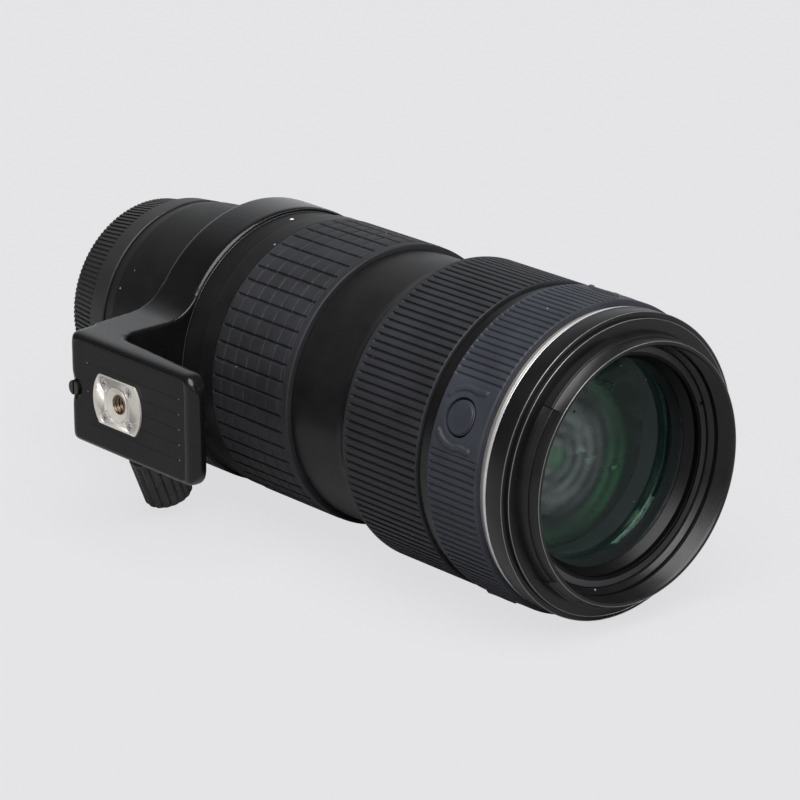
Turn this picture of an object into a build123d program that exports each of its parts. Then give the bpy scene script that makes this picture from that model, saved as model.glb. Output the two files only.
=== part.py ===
from build123d import *
import math
import os

# A tele zoom lens for a camera, lying on its side with its tripod foot to the left.
# Millimetres. The origin is the middle of the mount's flange face, on the optical axis.
# The front of the lens points towards -Y, the mount towards +Y, the foot towards -X, +Z is up.
# "Forward" below is the distance from the flange towards the front, so y = -forward.
# An angle round the axis starts at +X and grows towards +Z.

# Clearances
RUN = 0.08          # radial, between a turning or sliding piece and its bearing
GAP = 0.3           # between pieces of different bodies that don't bear on each other
SEAT = 0.02         # radial, between a fixed piece and its seat

# Mount and rear end
FLANGE_R = 33.0
FLANGE_T = 2.0
MOUNT_BORE_R = 23.0
NECK_R = 24.6
NECK_L = 6.5
TAB_R = 27.0
TAB_T = 1.8
TAB_SPAN = 42.0
TAB_COUNT = 3
MOUNT_SCREWS = 4
MOUNT_SCREW_R = 29.2
SCREW_D = 2.0
SCREW_L = 5.0
HEAD_D = 4.0
HEAD_T = 1.1
CONTACTS = 9
CONTACT_D = 1.3
CONTACT_STEP = 7.0
BARREL_REAR_R = 36.2
BARREL_STEP = 5.0
BARREL_STEP_R = 37.2
BARREL_END_R = 39.8
SHOULDER_R = 42.6
SHOULDER_W = 1.7
BULKHEAD_T = 4.5
REAR_WALL_R = 34.4

# Tripod collar, arm and foot
COLLAR_REAR = 33.5
COLLAR_W = 18.0
COLLAR_R = 45.2
COLLAR_SEAT_R = 41.6
COLLAR_ROUND = 1.8
FOOT_X = 77.3
FOOT_T = 9.8
FOOT_END_T = 6.4
FOOT_H = 35.6
FOOT_REAR = 37.2
FOOT_L = 62.5
FOOT_NOSE = 3.1
FOOT_CORNER = 8.0
FOOT_ROUND = 2.6
ARM_H = 36.0
ARM_FLARE = 14.0
ARM_CORNER = 6.0
ARM_SINK = 0.25
PANEL_BORDER = 2.0
PANEL_DEPTH = 0.6
PANEL_FRONT = 95.0
SOCKET_FORWARD = 62.0
PLATE_R = 11.9
PLATE_FLATS = 15.8
PLATE_T = 2.0
PLATE_PROUD = 0.4
SOCKET_BOSS_R = 5.2
SOCKET_R = 3.175
SOCKET_DEPTH = 6.5
PLATE_SCREW_ALONG = 6.2
PLATE_SCREW_ACROSS = 5.5
PLATE_SCREW_HEAD_D = 3.4
STOP_SCREW_D = 4.8
STOP_SCREW_L = 6.8
STOP_SCREW_SHANK_D = 2.5
STOP_FORWARD = 39.7
STOP_NOTCH_D = 7.4

# Clamp of the collar
CLAMP_TILT = 20.0
CLAMP_FORWARD = 42.5
CLAMP_END_X = -43.1
CLAMP_END_Z = -43.3
CLAMP_LUG_R = 7.5
CLAMP_LUG_L = 9.5
CLAMP_SLIT = 1.4
CLAMP_SCREW_D = 5.0
KNOB_L = 17.5
KNOB_R = 8.5
KNOB_END_R = 7.9
KNOB_FLUTES = 16
KNOB_FLUTE_D = 2.2
KNOB_ROUND = 1.8

# Inner barrel
INNER_R = 40.2
INNER_WALL = 1.8
INNER_FRONT = 133.0
SPIGOT_REAR = 18.0
SPIGOT_WALL = 1.8
INDEX_R = 44.0
INDEX_W = 8.2
BAND_R = 40.9
BAND_W = 3.3
DOT_R = 0.75
DOT_FORWARD = 56.4
DOT_ANGLE = 94.0

# Zoom ring
ZOOM_W = 43.8
ZOOM_RING_R = 43.2
ZOOM_GRIP_R = 45.1
ZOOM_LIP_R = 44.9
SLEEVE_REAR = 67.4
TILE_REAR = 68.2
TILE_L = 33.2
TILE_ROWS = 53
TILE_START = 4.45
TILE_GROOVE_W = 0.9
TILE_GROOVE_DEEP = 0.8
TILE_FIRST = 72.4
TILE_STEP = 5.48
TILE_LINES = 6
TILE_LINE_W = 0.55
TILE_LINE_DEEP = 0.4
ZOOM_TURN = 80.0
KEY_FORWARD = 81.5
KEY_L = 6.0
KEY_SPAN = 11.0
KEY_COUNT = 3
KEY_ANGLE = 60.0

# Cam tube, guide tube and the moving lens groups
GUIDE_R = 35.2
GUIDE_WALL = 1.6
GUIDE_REAR = 54.0
GUIDE_L = 74.0
GUIDE_FLANGE_T = 2.0
CAM_WALL = 1.6
CAM_REAR = 57.0
CAM_L = 69.0
PIN_D = 3.0
PIN_SLACK = 0.2
CELL_WALL = 4.0
VARIATOR_FORWARD = 86.0
VARIATOR_L = 11.0
VARIATOR_TRAVEL = 18.0
VARIATOR_PIN_ANGLE = 30.0
COMPENSATOR_FORWARD = 65.0
COMPENSATOR_L = 9.0
COMPENSATOR_TRAVEL = -6.0
COMPENSATOR_PIN_ANGLE = 90.0
PIN_COUNT = 3

# Middle barrel and distance scale
MID_R = 43.2
MID_WALL = 1.0
MID_FLANGE_T = 1.6
MID_FRONT = 128.2
WINDOW_FORWARD = 115.5
WINDOW_W = 10.0
WINDOW_SPAN = 28.0
WINDOW_T = 0.8
SCALE_WALL = 1.1
SCALE_W = 15.0

# Front barrel and focus ring
BEVEL_R = 46.5
BEVEL_L = 4.6
FRONT_WALL_R = 43.0
FOCUS_BAND_R = 44.9
FOCUS_BAND_W = 3.6
FOCUS_RELIEF = 0.4
FOCUS_REAR = 133.2
FOCUS_FRONT = 166.9
FOCUS_RING_R = 46.4
FOCUS_GRIP_R = 47.8
FOCUS_RIM = 0.9
FOCUS_REAR_RIM = 1.7
FOCUS_RIBS = 118
FOCUS_RIB_START = 0.0
RIB_GROOVE_W = 0.95
RIB_GROOVE_DEEP = 0.85
NECK_BAND_R = 46.7
NECK_BAND_W = 4.9
SHELF_T = 3.0
SHELF_R = 33.0
REAR_SHELF_FORWARD = 134.0

# Focus group and its drive
FOCUS_CELL_FORWARD = 142.0
FOCUS_CELL_L = 10.0
FOCUS_CELL_R = 33.6
FOCUS_TRAVEL = 8.0
FOCUS_EAR_T = 5.0
FOCUS_EAR_R = 3.6
ROD_D = 2.4
ROD_CIRCLE_R = 38.4
ROD_ANGLES = (100.0, 260.0)
DRIVE_ANGLE = 0.0
DRIVE_SCREW_D = 2.4
MOTOR_R = 4.2
MOTOR_L = 11.0

# Button ring
GRIP_FRONT = 192.8
GRIP_R = 48.0
GRIP_SEAT_R = 45.6
GRIP_RIM = 1.6
GRIP_RIBS = 132
GRIP_RIB_START = 133.0
GRIP_GROOVE_W = 0.8
GRIP_GROOVE_DEEP = 0.6
BUTTON_FORWARD = 181.6
BUTTON_ANGLE = 155.5
BUTTONS = 4
BUTTON_R = 5.3
BUTTON_TOP_R = 48.1
BUTTON_FACE_R = 4.9
BUTTON_EDGE = 0.4
BUTTON_SKIRT_R = 43.9
BUTTON_TRAVEL = 0.7
MOAT_R = 6.0
STEM_R = 1.5
STEM_END_R = 42.7
SWITCH_W = 12.0
SWITCH_T = 1.9
PLAIN_SPAN = 26.5
GUARD_ARC_R = 8.7
GUARD_W = 1.7
GUARD_SPAN = 76.0
GUARD_TOP_R = 48.6
GUARD_TAIL_L = 3.6

# Front end
SILVER_L = 3.1
SILVER_R = 46.6
SPIGOT_R = 44.2
SPIGOT_FRONT = 198.8
NAME_RING_R = 46.9
NAME_RING_FRONT = 202.7
STEP_R = 45.1
STEP_FRONT = 204.0
TUBE_R = 40.3
TUBE_FORWARD = 209.5
LIP_R = 40.0
LIP_FRONT = 211.2
LUG_R = 41.7
LUG_REAR = 205.6
LUG_L = 1.9
LUG_DEEP = 0.7
LUG_GAP_SPAN = 80.0
LUGS = 3
LUG_GAP_ANGLE = 180.0
FILTER_R = 38.5
FILTER_L = 6.2
FILTER_RELIEF = 0.5
SHADE_R = 38.0
SHADE_SLOPE = 1.3
RETAINER_FRONT = 202.0
RETAINER_R = 36.7
RETAINER_BORE_R = 33.7
RETAINER_L = 2.0
SPANNER_W = 1.4
NOTCH_ANGLE = 19.0
SPANNER_DEEP = 0.9

# Front cell and its glass
CELL_FLANGE_R = 42.6
CELL_FLANGE_T = 2.4
CELL_BODY_R = 39.5
CELL_HEAD_REAR = 191.0
CELL_HEAD_FRONT = 198.6
CELL_LIP_R = 31.8
CELL_LIP_FORWARD = 197.0
CELL_REAR_BORE_R = 29.2
FRONT_GLASS_R = 34.0
FRONT_GLASS_EDGE = 8.0
FRONT_GLASS_SAG = 4.2
INNER_GLASS_R = 31.0
INNER_GLASS_EDGE = 7.0

# Iris
IRIS_FORWARD = 40.0
IRIS_PLATE_T = 1.5
IRIS_L = 9.2
IRIS_WALL = 1.6
IRIS_OPEN_R = 20.0
IRIS_BLADES = 9
IRIS_PIVOT_R = 33.2
IRIS_PIN_R = 0.9
IRIS_EAR_R = 2.0
BLADE_T = 0.25
BLADE_STEP = 0.6
BLADE_IN_R = 21.5
BLADE_OUT_R = 31.3
BLADE_SPAN = 66.0
IRIS_RING_T = 1.0

# Rear group and circuit board
REAR_CELL_R = 24.0
REAR_CELL_L = 22.0
REAR_GLASS_R = 17.5
BOARD_FORWARD = 28.5
BOARD_T = 1.2
BOARD_BORE_R = 25.0

# Rear cap
CAP_L = 21.6
CAP_R = 36.6
CAP_BAND_R = 35.8
CAP_BAND_L = 8.0
CAP_RIB_R = 34.9
CAP_BACK_R = 32.8
CAP_WALL = 2.0
CAP_BOTTOM_T = 2.2
CAP_ROUND = 2.2
CAP_RIBS = 132
CAP_GROOVE_W = 0.8
CAP_RIB_DEEP = 0.55
CAP_LUG_R = 25.2
CAP_LUG_T = 1.4
CAP_LUG_SPAN = 30.0

# Places worked out from the values above
COLLAR_FRONT = COLLAR_REAR + COLLAR_W
COLLAR_BORE_R = COLLAR_SEAT_R + RUN
INDEX_REAR = COLLAR_FRONT + GAP
ZOOM_REAR = INDEX_REAR + INDEX_W + GAP
ZOOM_FRONT = ZOOM_REAR + ZOOM_W
MID_REAR = ZOOM_FRONT + GAP
CAM_R = GUIDE_R + RUN + CAM_WALL
GUIDE_BORE_R = GUIDE_R - GUIDE_WALL
CELL_R = GUIDE_BORE_R - RUN
GRIP_REAR = FOCUS_FRONT + NECK_BAND_W
SHELF_FORWARD = GRIP_REAR - SHELF_T
SILVER_FRONT = GRIP_FRONT + SILVER_L
GROUPS_R = CELL_R - CELL_WALL


def outline(points):
    """A closed flat outline. A third number at a point rounds that corner, and a fourth flattens
    the rounding by that share of its radius."""
    corners = []
    count = len(points)
    for i, point in enumerate(points):
        here = Vector(point[0], point[1])
        radius = point[2] if len(point) > 2 else 0
        if not radius:
            corners.append((here, here, None))
            continue
        back = (Vector(*points[i - 1][:2]) - here).normalized()
        ahead = (Vector(*points[(i + 1) % count][:2]) - here).normalized()
        half = math.acos(max(-1, min(1, back.dot(ahead)))) / 2
        reach = radius / math.tan(half)
        flatten = point[3] * radius if len(point) > 3 else 0
        middle = here + (back + ahead).normalized() * (radius / math.sin(half) - radius + flatten)
        corners.append((here + back * reach, here + ahead * reach, middle))
    edges = []
    for i, (start, end, middle) in enumerate(corners):
        if middle is not None:
            edges.append(ThreePointArc(start, middle, end))
        after = corners[(i + 1) % count][0]
        if (after - end).length > 1e-6:
            edges.append(Line(end, after))
    return make_face(edges)


def turned(*points):
    """A solid of revolution from points (forward, radius), with an optional corner radius."""
    flat = [(p[1], -p[0], *p[2:]) for p in points]
    return revolve(outline(flat), Axis.Y)


def tube(rear, front, inner, outer):
    """A plain tube about the lens axis."""
    return turned((rear, inner), (rear, outer), (front, outer), (front, inner))


def spin(shape, angle):
    """Turn a shape about the lens axis, from +X towards +Z."""
    return shape.rotate(Axis.Y, -angle)


def sector(rear, front, inner, outer, angle, span):
    """A piece of a tube, centred on an angle round the axis."""
    ring = Plane.XZ * Circle(outer)
    wide = 2 * outer
    a, b = math.radians(angle - span / 2), math.radians(angle + span / 2)
    m = math.radians(angle)
    wedge = make_face([
        Line((0, 0), (wide * math.cos(a), wide * math.sin(a))),
        ThreePointArc((wide * math.cos(a), wide * math.sin(a)),
                      (wide * math.cos(m), wide * math.sin(m)),
                      (wide * math.cos(b), wide * math.sin(b))),
        Line((wide * math.cos(b), wide * math.sin(b)), (0, 0)),
    ])
    flat = (Circle(outer) - Circle(inner)) & wedge
    return along(flat, rear, front)


def along(flat, rear, front):
    """Push a flat shape, drawn in x and z, from rear to front along the lens."""
    plane = Plane(origin=(0, -rear, 0), x_dir=(1, 0, 0), z_dir=(0, -1, 0))
    return extrude(plane * flat, amount=front - rear)


def radial(flat, forward, angle, inner, outer):
    """Push a flat shape out from the axis. Its x runs forward, its y runs round the barrel."""
    a = math.radians(angle)
    out = Vector(math.cos(a), 0, math.sin(a))
    plane = Plane(origin=Vector(0, -forward, 0) + out * inner, x_dir=(0, -1, 0), z_dir=out)
    return extrude(plane * flat, amount=outer - inner)


def grooved(outer, inner, count, width, deep, rear, front, start=0.0, skip=lambda angle: False):
    """A tube with lengthwise grooves cut in its outside."""
    flat = Circle(outer) - Circle(inner)
    cutter = Rectangle(2 * deep, width)
    places = [start + 360.0 * i / count for i in range(count)]
    cuts = [Rot(0, 0, a) * Pos(outer, 0) * cutter for a in places if not skip(a % 360)]
    return along(flat - cuts, rear, front)


def glass(rear, front, radius, sag_rear, sag_front):
    """A lens element: its edge runs from rear to front, and each face bulges out by its sag."""
    edge_front = (radius, -front)
    edge_rear = (radius, -rear)

    def face_arc(start, end, edge, top, side):
        if abs(top) < 1e-6:
            return Line(start, end)
        curve = (radius**2 + top**2) / (2 * abs(top))
        drop = curve - math.sqrt(curve**2 - (radius / 2)**2)
        middle = (radius / 2, edge - side * (top - math.copysign(drop, top)))
        return ThreePointArc(start, middle, end)

    top_front = (0, -(front + sag_front))
    top_rear = (0, -(rear - sag_rear))
    edges = [
        face_arc(top_front, edge_front, -front, sag_front, 1),
        Line(edge_front, edge_rear),
        face_arc(edge_rear, top_rear, -rear, sag_rear, -1),
        Line(top_rear, top_front),
    ]
    return revolve(make_face(edges), Axis.Y)


def ring_of(shape, count, start=0.0):
    """Copies of a shape spaced evenly round the axis."""
    return [spin(shape, start + 360.0 * i / count) for i in range(count)]


# Mount and rear end

def mount_bayonet():
    """Flange, neck and three tabs that turn behind the camera's mount ring."""
    body = turned((-NECK_L, MOUNT_BORE_R), (-NECK_L, NECK_R), (0, NECK_R), (0, FLANGE_R, 0.4),
                  (FLANGE_T, FLANGE_R), (FLANGE_T, MOUNT_BORE_R))
    for i in range(TAB_COUNT):
        body += sector(-NECK_L, TAB_T - NECK_L, NECK_R - 0.5, TAB_R, 360 * i / TAB_COUNT, TAB_SPAN)
    for hole in ring_of(screw_at(0.0, MOUNT_SCREW_R, SEAT), MOUNT_SCREWS, 45):
        body -= hole
    return body


def screw_at(forward, radius, spare=0.0):
    """A countersunk screw that points forward, at angle 0. Spare widens it into its hole."""
    head = HEAD_D / 2 + spare
    shank = SCREW_D / 2 + spare
    y = -forward - 0.1
    flat = outline([(0, y), (head, y), (shank, y - HEAD_T), (shank, y - SCREW_L - spare),
                    (0, y - SCREW_L - spare)])
    return Pos(radius, 0, 0) * revolve(flat, Axis.Y)


def mount_screws():
    slot = Box(HEAD_D, 0.5, 0.6)
    screw = screw_at(0.0, MOUNT_SCREW_R)
    screw -= Pos(MOUNT_SCREW_R, -0.1, 0) * Box(HEAD_D * 0.6, 0.9, 0.6)
    screw -= Pos(MOUNT_SCREW_R, -0.1, 0) * Box(0.6, 0.9, HEAD_D * 0.6)
    return ring_of(screw, MOUNT_SCREWS, 45)


def contact_angles():
    middle = (CONTACTS - 1) / 2
    return [270 + (i - middle) * CONTACT_STEP for i in range(CONTACTS)]


def contact_pin(angle, spare=0.0):
    pin = Pos(0, NECK_L - 0.6, 0) * Cylinder(CONTACT_D / 2 + spare, 3.0, rotation=(90, 0, 0))
    return spin(Pos(MOUNT_BORE_R - 2.3, 0, 0) * pin, angle)


def contact_block():
    span = CONTACTS * CONTACT_STEP + 6
    block = sector(-NECK_L + 0.5, FLANGE_T, MOUNT_BORE_R - 4.6, MOUNT_BORE_R - SEAT, 270, span)
    for angle in contact_angles():
        block -= contact_pin(angle, SEAT)
    return block


def contact_pins():
    return [contact_pin(angle) for angle in contact_angles()]


def rear_barrel():
    """The plain rear shell between the mount and the collar."""
    seat = FLANGE_T
    body = turned((seat, REAR_CELL_R + SEAT), (seat, FLANGE_R + SEAT), (GAP, FLANGE_R + SEAT),
                  (GAP, BARREL_REAR_R, 0.6), (BARREL_STEP, BARREL_STEP_R),
                  (COLLAR_REAR - SHOULDER_W - GAP, BARREL_END_R), (COLLAR_REAR - SHOULDER_W - GAP, SHOULDER_R, 0.4),
                  (COLLAR_REAR - GAP, SHOULDER_R, 0.4), (COLLAR_REAR - GAP, REAR_WALL_R),
                  (seat + BULKHEAD_T, REAR_WALL_R), (seat + BULKHEAD_T, REAR_CELL_R + SEAT))
    for hole in ring_of(screw_at(0.0, MOUNT_SCREW_R, SEAT), MOUNT_SCREWS, 45):
        body -= hole
    return body


# Inner barrel, with the collar's seat, the index ring and the zoom ring's bearings

def inner_barrel():
    bore = INNER_R - INNER_WALL
    spigot_r = REAR_WALL_R - SEAT
    spigot_bore = spigot_r - SPIGOT_WALL
    step = COLLAR_REAR - GAP
    index_front = INDEX_REAR + INDEX_W
    body = turned(
        (SPIGOT_REAR, spigot_bore), (SPIGOT_REAR, spigot_r), (step, spigot_r), (step, COLLAR_SEAT_R),
        (INDEX_REAR, COLLAR_SEAT_R), (INDEX_REAR, INDEX_R, 0.5), (index_front, INDEX_R, 0.4),
        (index_front, BAND_R), (index_front + BAND_W, BAND_R), (index_front + BAND_W, INNER_R),
        (ZOOM_FRONT - BAND_W, INNER_R), (ZOOM_FRONT - BAND_W, BAND_R), (ZOOM_FRONT, BAND_R),
        (ZOOM_FRONT, INNER_R), (INNER_FRONT, INNER_R), (INNER_FRONT, bore),
        (step + 3.0, bore), (step + 3.0, spigot_bore))
    for i in range(KEY_COUNT):
        span = ZOOM_TURN + KEY_SPAN + 2.0
        middle = KEY_ANGLE + 360 * i / KEY_COUNT - ZOOM_TURN / 2
        body -= sector(KEY_FORWARD - KEY_L / 2 - GAP, KEY_FORWARD + KEY_L / 2 + GAP,
                       bore - 1, INNER_R + 1, middle, span)
    body -= radial(Circle(DOT_R), DOT_FORWARD, DOT_ANGLE, INDEX_R - 0.3, INDEX_R + 1)
    return body


# Zoom ring and cam

def zoom_ring():
    """Ring under the rubber, with a plain band at its rear for the focal lengths."""
    bore = BAND_R + RUN
    return turned((ZOOM_REAR, bore), (ZOOM_REAR, ZOOM_LIP_R, 0.8), (SLEEVE_REAR, ZOOM_LIP_R),
                  (SLEEVE_REAR, ZOOM_RING_R), (ZOOM_FRONT, ZOOM_RING_R, 0.3), (ZOOM_FRONT, bore))


def zoom_grip():
    """Ribbed rubber sleeve: lengthwise grooves crossed by fine lines, with a plain lip in front."""
    tile_front = TILE_REAR + TILE_L
    grip = grooved(ZOOM_GRIP_R, ZOOM_RING_R, TILE_ROWS, TILE_GROOVE_W, TILE_GROOVE_DEEP,
                   TILE_REAR, tile_front, start=TILE_START)
    for i in range(TILE_LINES):
        place = TILE_FIRST + i * TILE_STEP
        grip -= tube(place - TILE_LINE_W / 2, place + TILE_LINE_W / 2,
                     ZOOM_GRIP_R - TILE_LINE_DEEP, ZOOM_GRIP_R + 1)
    grip += turned((SLEEVE_REAR, ZOOM_RING_R), (SLEEVE_REAR, ZOOM_GRIP_R, 0.3), (TILE_REAR, ZOOM_GRIP_R),
                   (TILE_REAR, ZOOM_RING_R))
    grip += turned((tile_front, ZOOM_RING_R), (tile_front, ZOOM_LIP_R), (ZOOM_FRONT, ZOOM_LIP_R, 0.8),
                   (ZOOM_FRONT, ZOOM_RING_R))
    return grip


def zoom_keys():
    """Three keys that join the zoom ring to the cam tube through slots in the inner barrel."""
    key = sector(KEY_FORWARD - KEY_L / 2, KEY_FORWARD + KEY_L / 2, CAM_R, BAND_R + RUN,
                 KEY_ANGLE, KEY_SPAN)
    return ring_of(key, KEY_COUNT)


def cam_slot(pin_forward, pin_angle, travel):
    """One sloping slot, cut as short straight steps that follow a steady helix."""
    steps = 8
    width = PIN_D + PIN_SLACK
    arc = math.radians(ZOOM_TURN) * CAM_R
    run = math.hypot(arc, travel) / steps
    slope = math.degrees(math.atan2(-arc, travel))
    cutters = []
    for i in range(steps + 1):
        share = i / steps
        flat = Rot(0, 0, slope) * Rectangle(run * 1.3, width)
        flat += Circle(width / 2)
        cutters.append(radial(flat, pin_forward + travel * share, pin_angle + ZOOM_TURN * share,
                              GUIDE_R - 1.2, CAM_R + 1.5))
    return cutters


def cam_tube():
    body = tube(CAM_REAR, CAM_REAR + CAM_L, GUIDE_R + RUN, CAM_R)
    for place, angle, travel in groups():
        for i in range(PIN_COUNT):
            for cutter in cam_slot(place, angle + 360 * i / PIN_COUNT, travel):
                body -= cutter
    return body


def groups():
    """Pin place, first pin angle and travel of the two groups that zooming moves."""
    return (
        (VARIATOR_FORWARD + VARIATOR_L / 2, VARIATOR_PIN_ANGLE, VARIATOR_TRAVEL),
        (COMPENSATOR_FORWARD + COMPENSATOR_L / 2, COMPENSATOR_PIN_ANGLE, COMPENSATOR_TRAVEL),
    )


def guide_tube():
    """Fixed tube with straight slots, which keeps the groups from turning."""
    flange_r = INNER_R - INNER_WALL - SEAT
    body = turned((GUIDE_REAR, GUIDE_BORE_R), (GUIDE_REAR, flange_r),
                  (GUIDE_REAR + GUIDE_FLANGE_T, flange_r), (GUIDE_REAR + GUIDE_FLANGE_T, GUIDE_R),
                  (GUIDE_REAR + GUIDE_L, GUIDE_R), (GUIDE_REAR + GUIDE_L, GUIDE_BORE_R))
    for place, angle, travel in groups():
        slot = SlotCenterToCenter(abs(travel), PIN_D + PIN_SLACK)
        for i in range(PIN_COUNT):
            body -= radial(slot, place + travel / 2, angle + 360 * i / PIN_COUNT,
                           GUIDE_BORE_R - 1, GUIDE_R + 1)
    return body


def group_cell(forward, length, pin_angle):
    """A lens cell with three follower pins."""
    body = turned((forward, GROUPS_R - 2), (forward, CELL_R, 0.4), (forward + length, CELL_R, 0.4),
                  (forward + length, GROUPS_R + SEAT), (forward + 1.5, GROUPS_R + SEAT),
                  (forward + 1.5, GROUPS_R - 2))
    for i in range(PIN_COUNT):
        body += radial(Circle(PIN_D / 2), forward + length / 2, pin_angle + 360 * i / PIN_COUNT,
                       CELL_R - 1.5, CAM_R - 0.2)
    return body


def group_glass(forward, length, sag_rear, sag_front):
    return glass(forward + 1.5, forward + length - 1.0, GROUPS_R, sag_rear, sag_front)


# Middle barrel and distance scale

def window_cut(inner, outer):
    half = WINDOW_W / 2
    return sector(WINDOW_FORWARD - half, WINDOW_FORWARD + half, inner, outer, 0, WINDOW_SPAN)


def mid_barrel():
    """The smooth barrel between the two rings, with the window on the top of the lens."""
    bore = MID_R - MID_WALL
    seat = INNER_R + SEAT
    body = turned((MID_REAR, seat), (MID_REAR, MID_R, 0.3), (MID_FRONT, MID_R), (MID_FRONT, seat),
                  (MID_FRONT - MID_FLANGE_T, seat), (MID_FRONT - MID_FLANGE_T, bore),
                  (MID_REAR + MID_FLANGE_T, bore), (MID_REAR + MID_FLANGE_T, seat))
    return body - window_cut(bore - 1, MID_R + 1)


def distance_window():
    pane = window_cut(MID_R - WINDOW_T, MID_R)
    trim = sector(WINDOW_FORWARD - WINDOW_W / 2 + SEAT, WINDOW_FORWARD + WINDOW_W / 2 - SEAT,
                  MID_R - WINDOW_T, MID_R, 0, WINDOW_SPAN - 0.1)
    return pane & trim


def scale_drum():
    """Drum with the distance numbers, which turns as the lens focuses."""
    half = SCALE_W / 2
    return tube(WINDOW_FORWARD - half, WINDOW_FORWARD + half, INNER_R + RUN,
                INNER_R + RUN + SCALE_WALL)


# Front barrel and focus ring

def shelf(body, forward):
    """An inner shelf of the front barrel that carries the focus group's rods."""
    return body + tube(forward, forward + SHELF_T, SHELF_R + 2, FRONT_WALL_R + 0.5)


def front_barrel():
    bevel_front = MID_FRONT + BEVEL_L
    relief = FOCUS_BAND_R - FOCUS_RELIEF
    body = turned(
        (MID_FRONT, INNER_R + SEAT), (MID_FRONT, MID_R), (bevel_front, BEVEL_R, 0.3),
        (FOCUS_REAR - 0.1, BEVEL_R), (FOCUS_REAR - 0.1, FOCUS_BAND_R),
        (FOCUS_REAR + FOCUS_BAND_W, FOCUS_BAND_R), (FOCUS_REAR + FOCUS_BAND_W, relief),
        (FOCUS_FRONT - FOCUS_BAND_W, relief), (FOCUS_FRONT - FOCUS_BAND_W, FOCUS_BAND_R),
        (FOCUS_FRONT + GAP, FOCUS_BAND_R), (FOCUS_FRONT + GAP, NECK_BAND_R, 0.3),
        (GRIP_REAR, NECK_BAND_R), (GRIP_REAR, GRIP_SEAT_R), (GRIP_FRONT, GRIP_SEAT_R),
        (GRIP_FRONT, SPIGOT_R), (SPIGOT_FRONT, SPIGOT_R), (SPIGOT_FRONT, FRONT_WALL_R),
        (INNER_FRONT, FRONT_WALL_R), (INNER_FRONT, INNER_R + SEAT))
    body = shelf(shelf(body, SHELF_FORWARD), REAR_SHELF_FORWARD)
    for angle in ROD_ANGLES:
        body -= rod(angle, SEAT)
    body -= drive_screw(RUN)
    for angle in button_angles():
        body -= radial(Circle(BUTTON_R + RUN), BUTTON_FORWARD, angle, FRONT_WALL_R - 1, GRIP_SEAT_R + 1)
    return body


def focus_ring():
    bore = FOCUS_BAND_R + RUN
    return turned((FOCUS_REAR + GAP, bore), (FOCUS_REAR + GAP, FOCUS_RING_R),
                  (FOCUS_FRONT - 0.1, FOCUS_RING_R), (FOCUS_FRONT - 0.1, bore))


def focus_grip():
    """Ribbed rubber sleeve of the focus ring."""
    rear = FOCUS_REAR + GAP
    front = FOCUS_FRONT - 0.1
    grip = grooved(FOCUS_GRIP_R, FOCUS_RING_R, FOCUS_RIBS, RIB_GROOVE_W, RIB_GROOVE_DEEP,
                   rear + FOCUS_REAR_RIM, front - FOCUS_RIM, start=FOCUS_RIB_START)
    grip += turned((rear, FOCUS_RING_R), (rear, FOCUS_GRIP_R, 0.9), (rear + FOCUS_REAR_RIM, FOCUS_GRIP_R),
                   (rear + FOCUS_REAR_RIM, FOCUS_RING_R))
    grip += turned((front - FOCUS_RIM, FOCUS_RING_R), (front - FOCUS_RIM, FOCUS_GRIP_R),
                   (front, FOCUS_GRIP_R, 0.9), (front, FOCUS_RING_R))
    return grip


# Focus group

def rod(angle, spare=0.0):
    rear = REAR_SHELF_FORWARD + 0.5
    return along(Rot(0, 0, angle) * Pos(ROD_CIRCLE_R, 0) * Circle(ROD_D / 2 + spare),
                 rear - spare, SHELF_FORWARD + SHELF_T - 0.5 + spare)


def guide_rods():
    return [rod(angle) for angle in ROD_ANGLES]


def drive_screw(spare=0.0):
    rear = REAR_SHELF_FORWARD + 0.6
    front = SHELF_FORWARD - MOTOR_L - GAP
    return along(Rot(0, 0, DRIVE_ANGLE) * Pos(ROD_CIRCLE_R, 0) * Circle(DRIVE_SCREW_D / 2 + spare),
                 rear - spare, front)


def focus_motor():
    """Small motor on the front shelf that turns the drive screw."""
    place = Rot(0, 0, DRIVE_ANGLE) * Pos(ROD_CIRCLE_R, 0)
    body = along(place * Circle(MOTOR_R), SHELF_FORWARD - MOTOR_L, SHELF_FORWARD)
    return body


def focus_cell():
    bore = FOCUS_CELL_R - CELL_WALL
    rear = FOCUS_CELL_FORWARD
    body = turned((rear, bore - 2), (rear, FOCUS_CELL_R, 0.4), (rear + FOCUS_CELL_L, FOCUS_CELL_R, 0.4),
                  (rear + FOCUS_CELL_L, bore + SEAT), (rear + 1.5, bore + SEAT), (rear + 1.5, bore - 2))
    for angle in (*ROD_ANGLES, DRIVE_ANGLE):
        place = Rot(0, 0, angle)
        ear = place * Pos(ROD_CIRCLE_R, 0) * Circle(FOCUS_EAR_R)
        ear += place * Pos(ROD_CIRCLE_R - 3.5, 0) * Rectangle(7, 2 * FOCUS_EAR_R)
        body += along(ear, rear, rear + FOCUS_EAR_T) - tube(rear - 1, rear + 20, 0, FOCUS_CELL_R - 1)
        hole = place * Pos(ROD_CIRCLE_R, 0) * Circle(ROD_D / 2 + RUN)
        body -= along(hole, rear - 1, rear + FOCUS_EAR_T + 1)
    return body


def focus_glass():
    radius = FOCUS_CELL_R - CELL_WALL
    return glass(FOCUS_CELL_FORWARD + 1.5, FOCUS_CELL_FORWARD + FOCUS_CELL_L - 1.5, radius, -1.5, -2.5)


# Button ring

def button_angles():
    return [BUTTON_ANGLE + 360.0 * i / BUTTONS for i in range(BUTTONS)]


def near_button(angle):
    """True where the ring is plain, beside a button."""
    apart = [(angle - b + 180) % 360 - 180 for b in button_angles()]
    return any(abs(a) < PLAIN_SPAN / 2 for a in apart)


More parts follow.
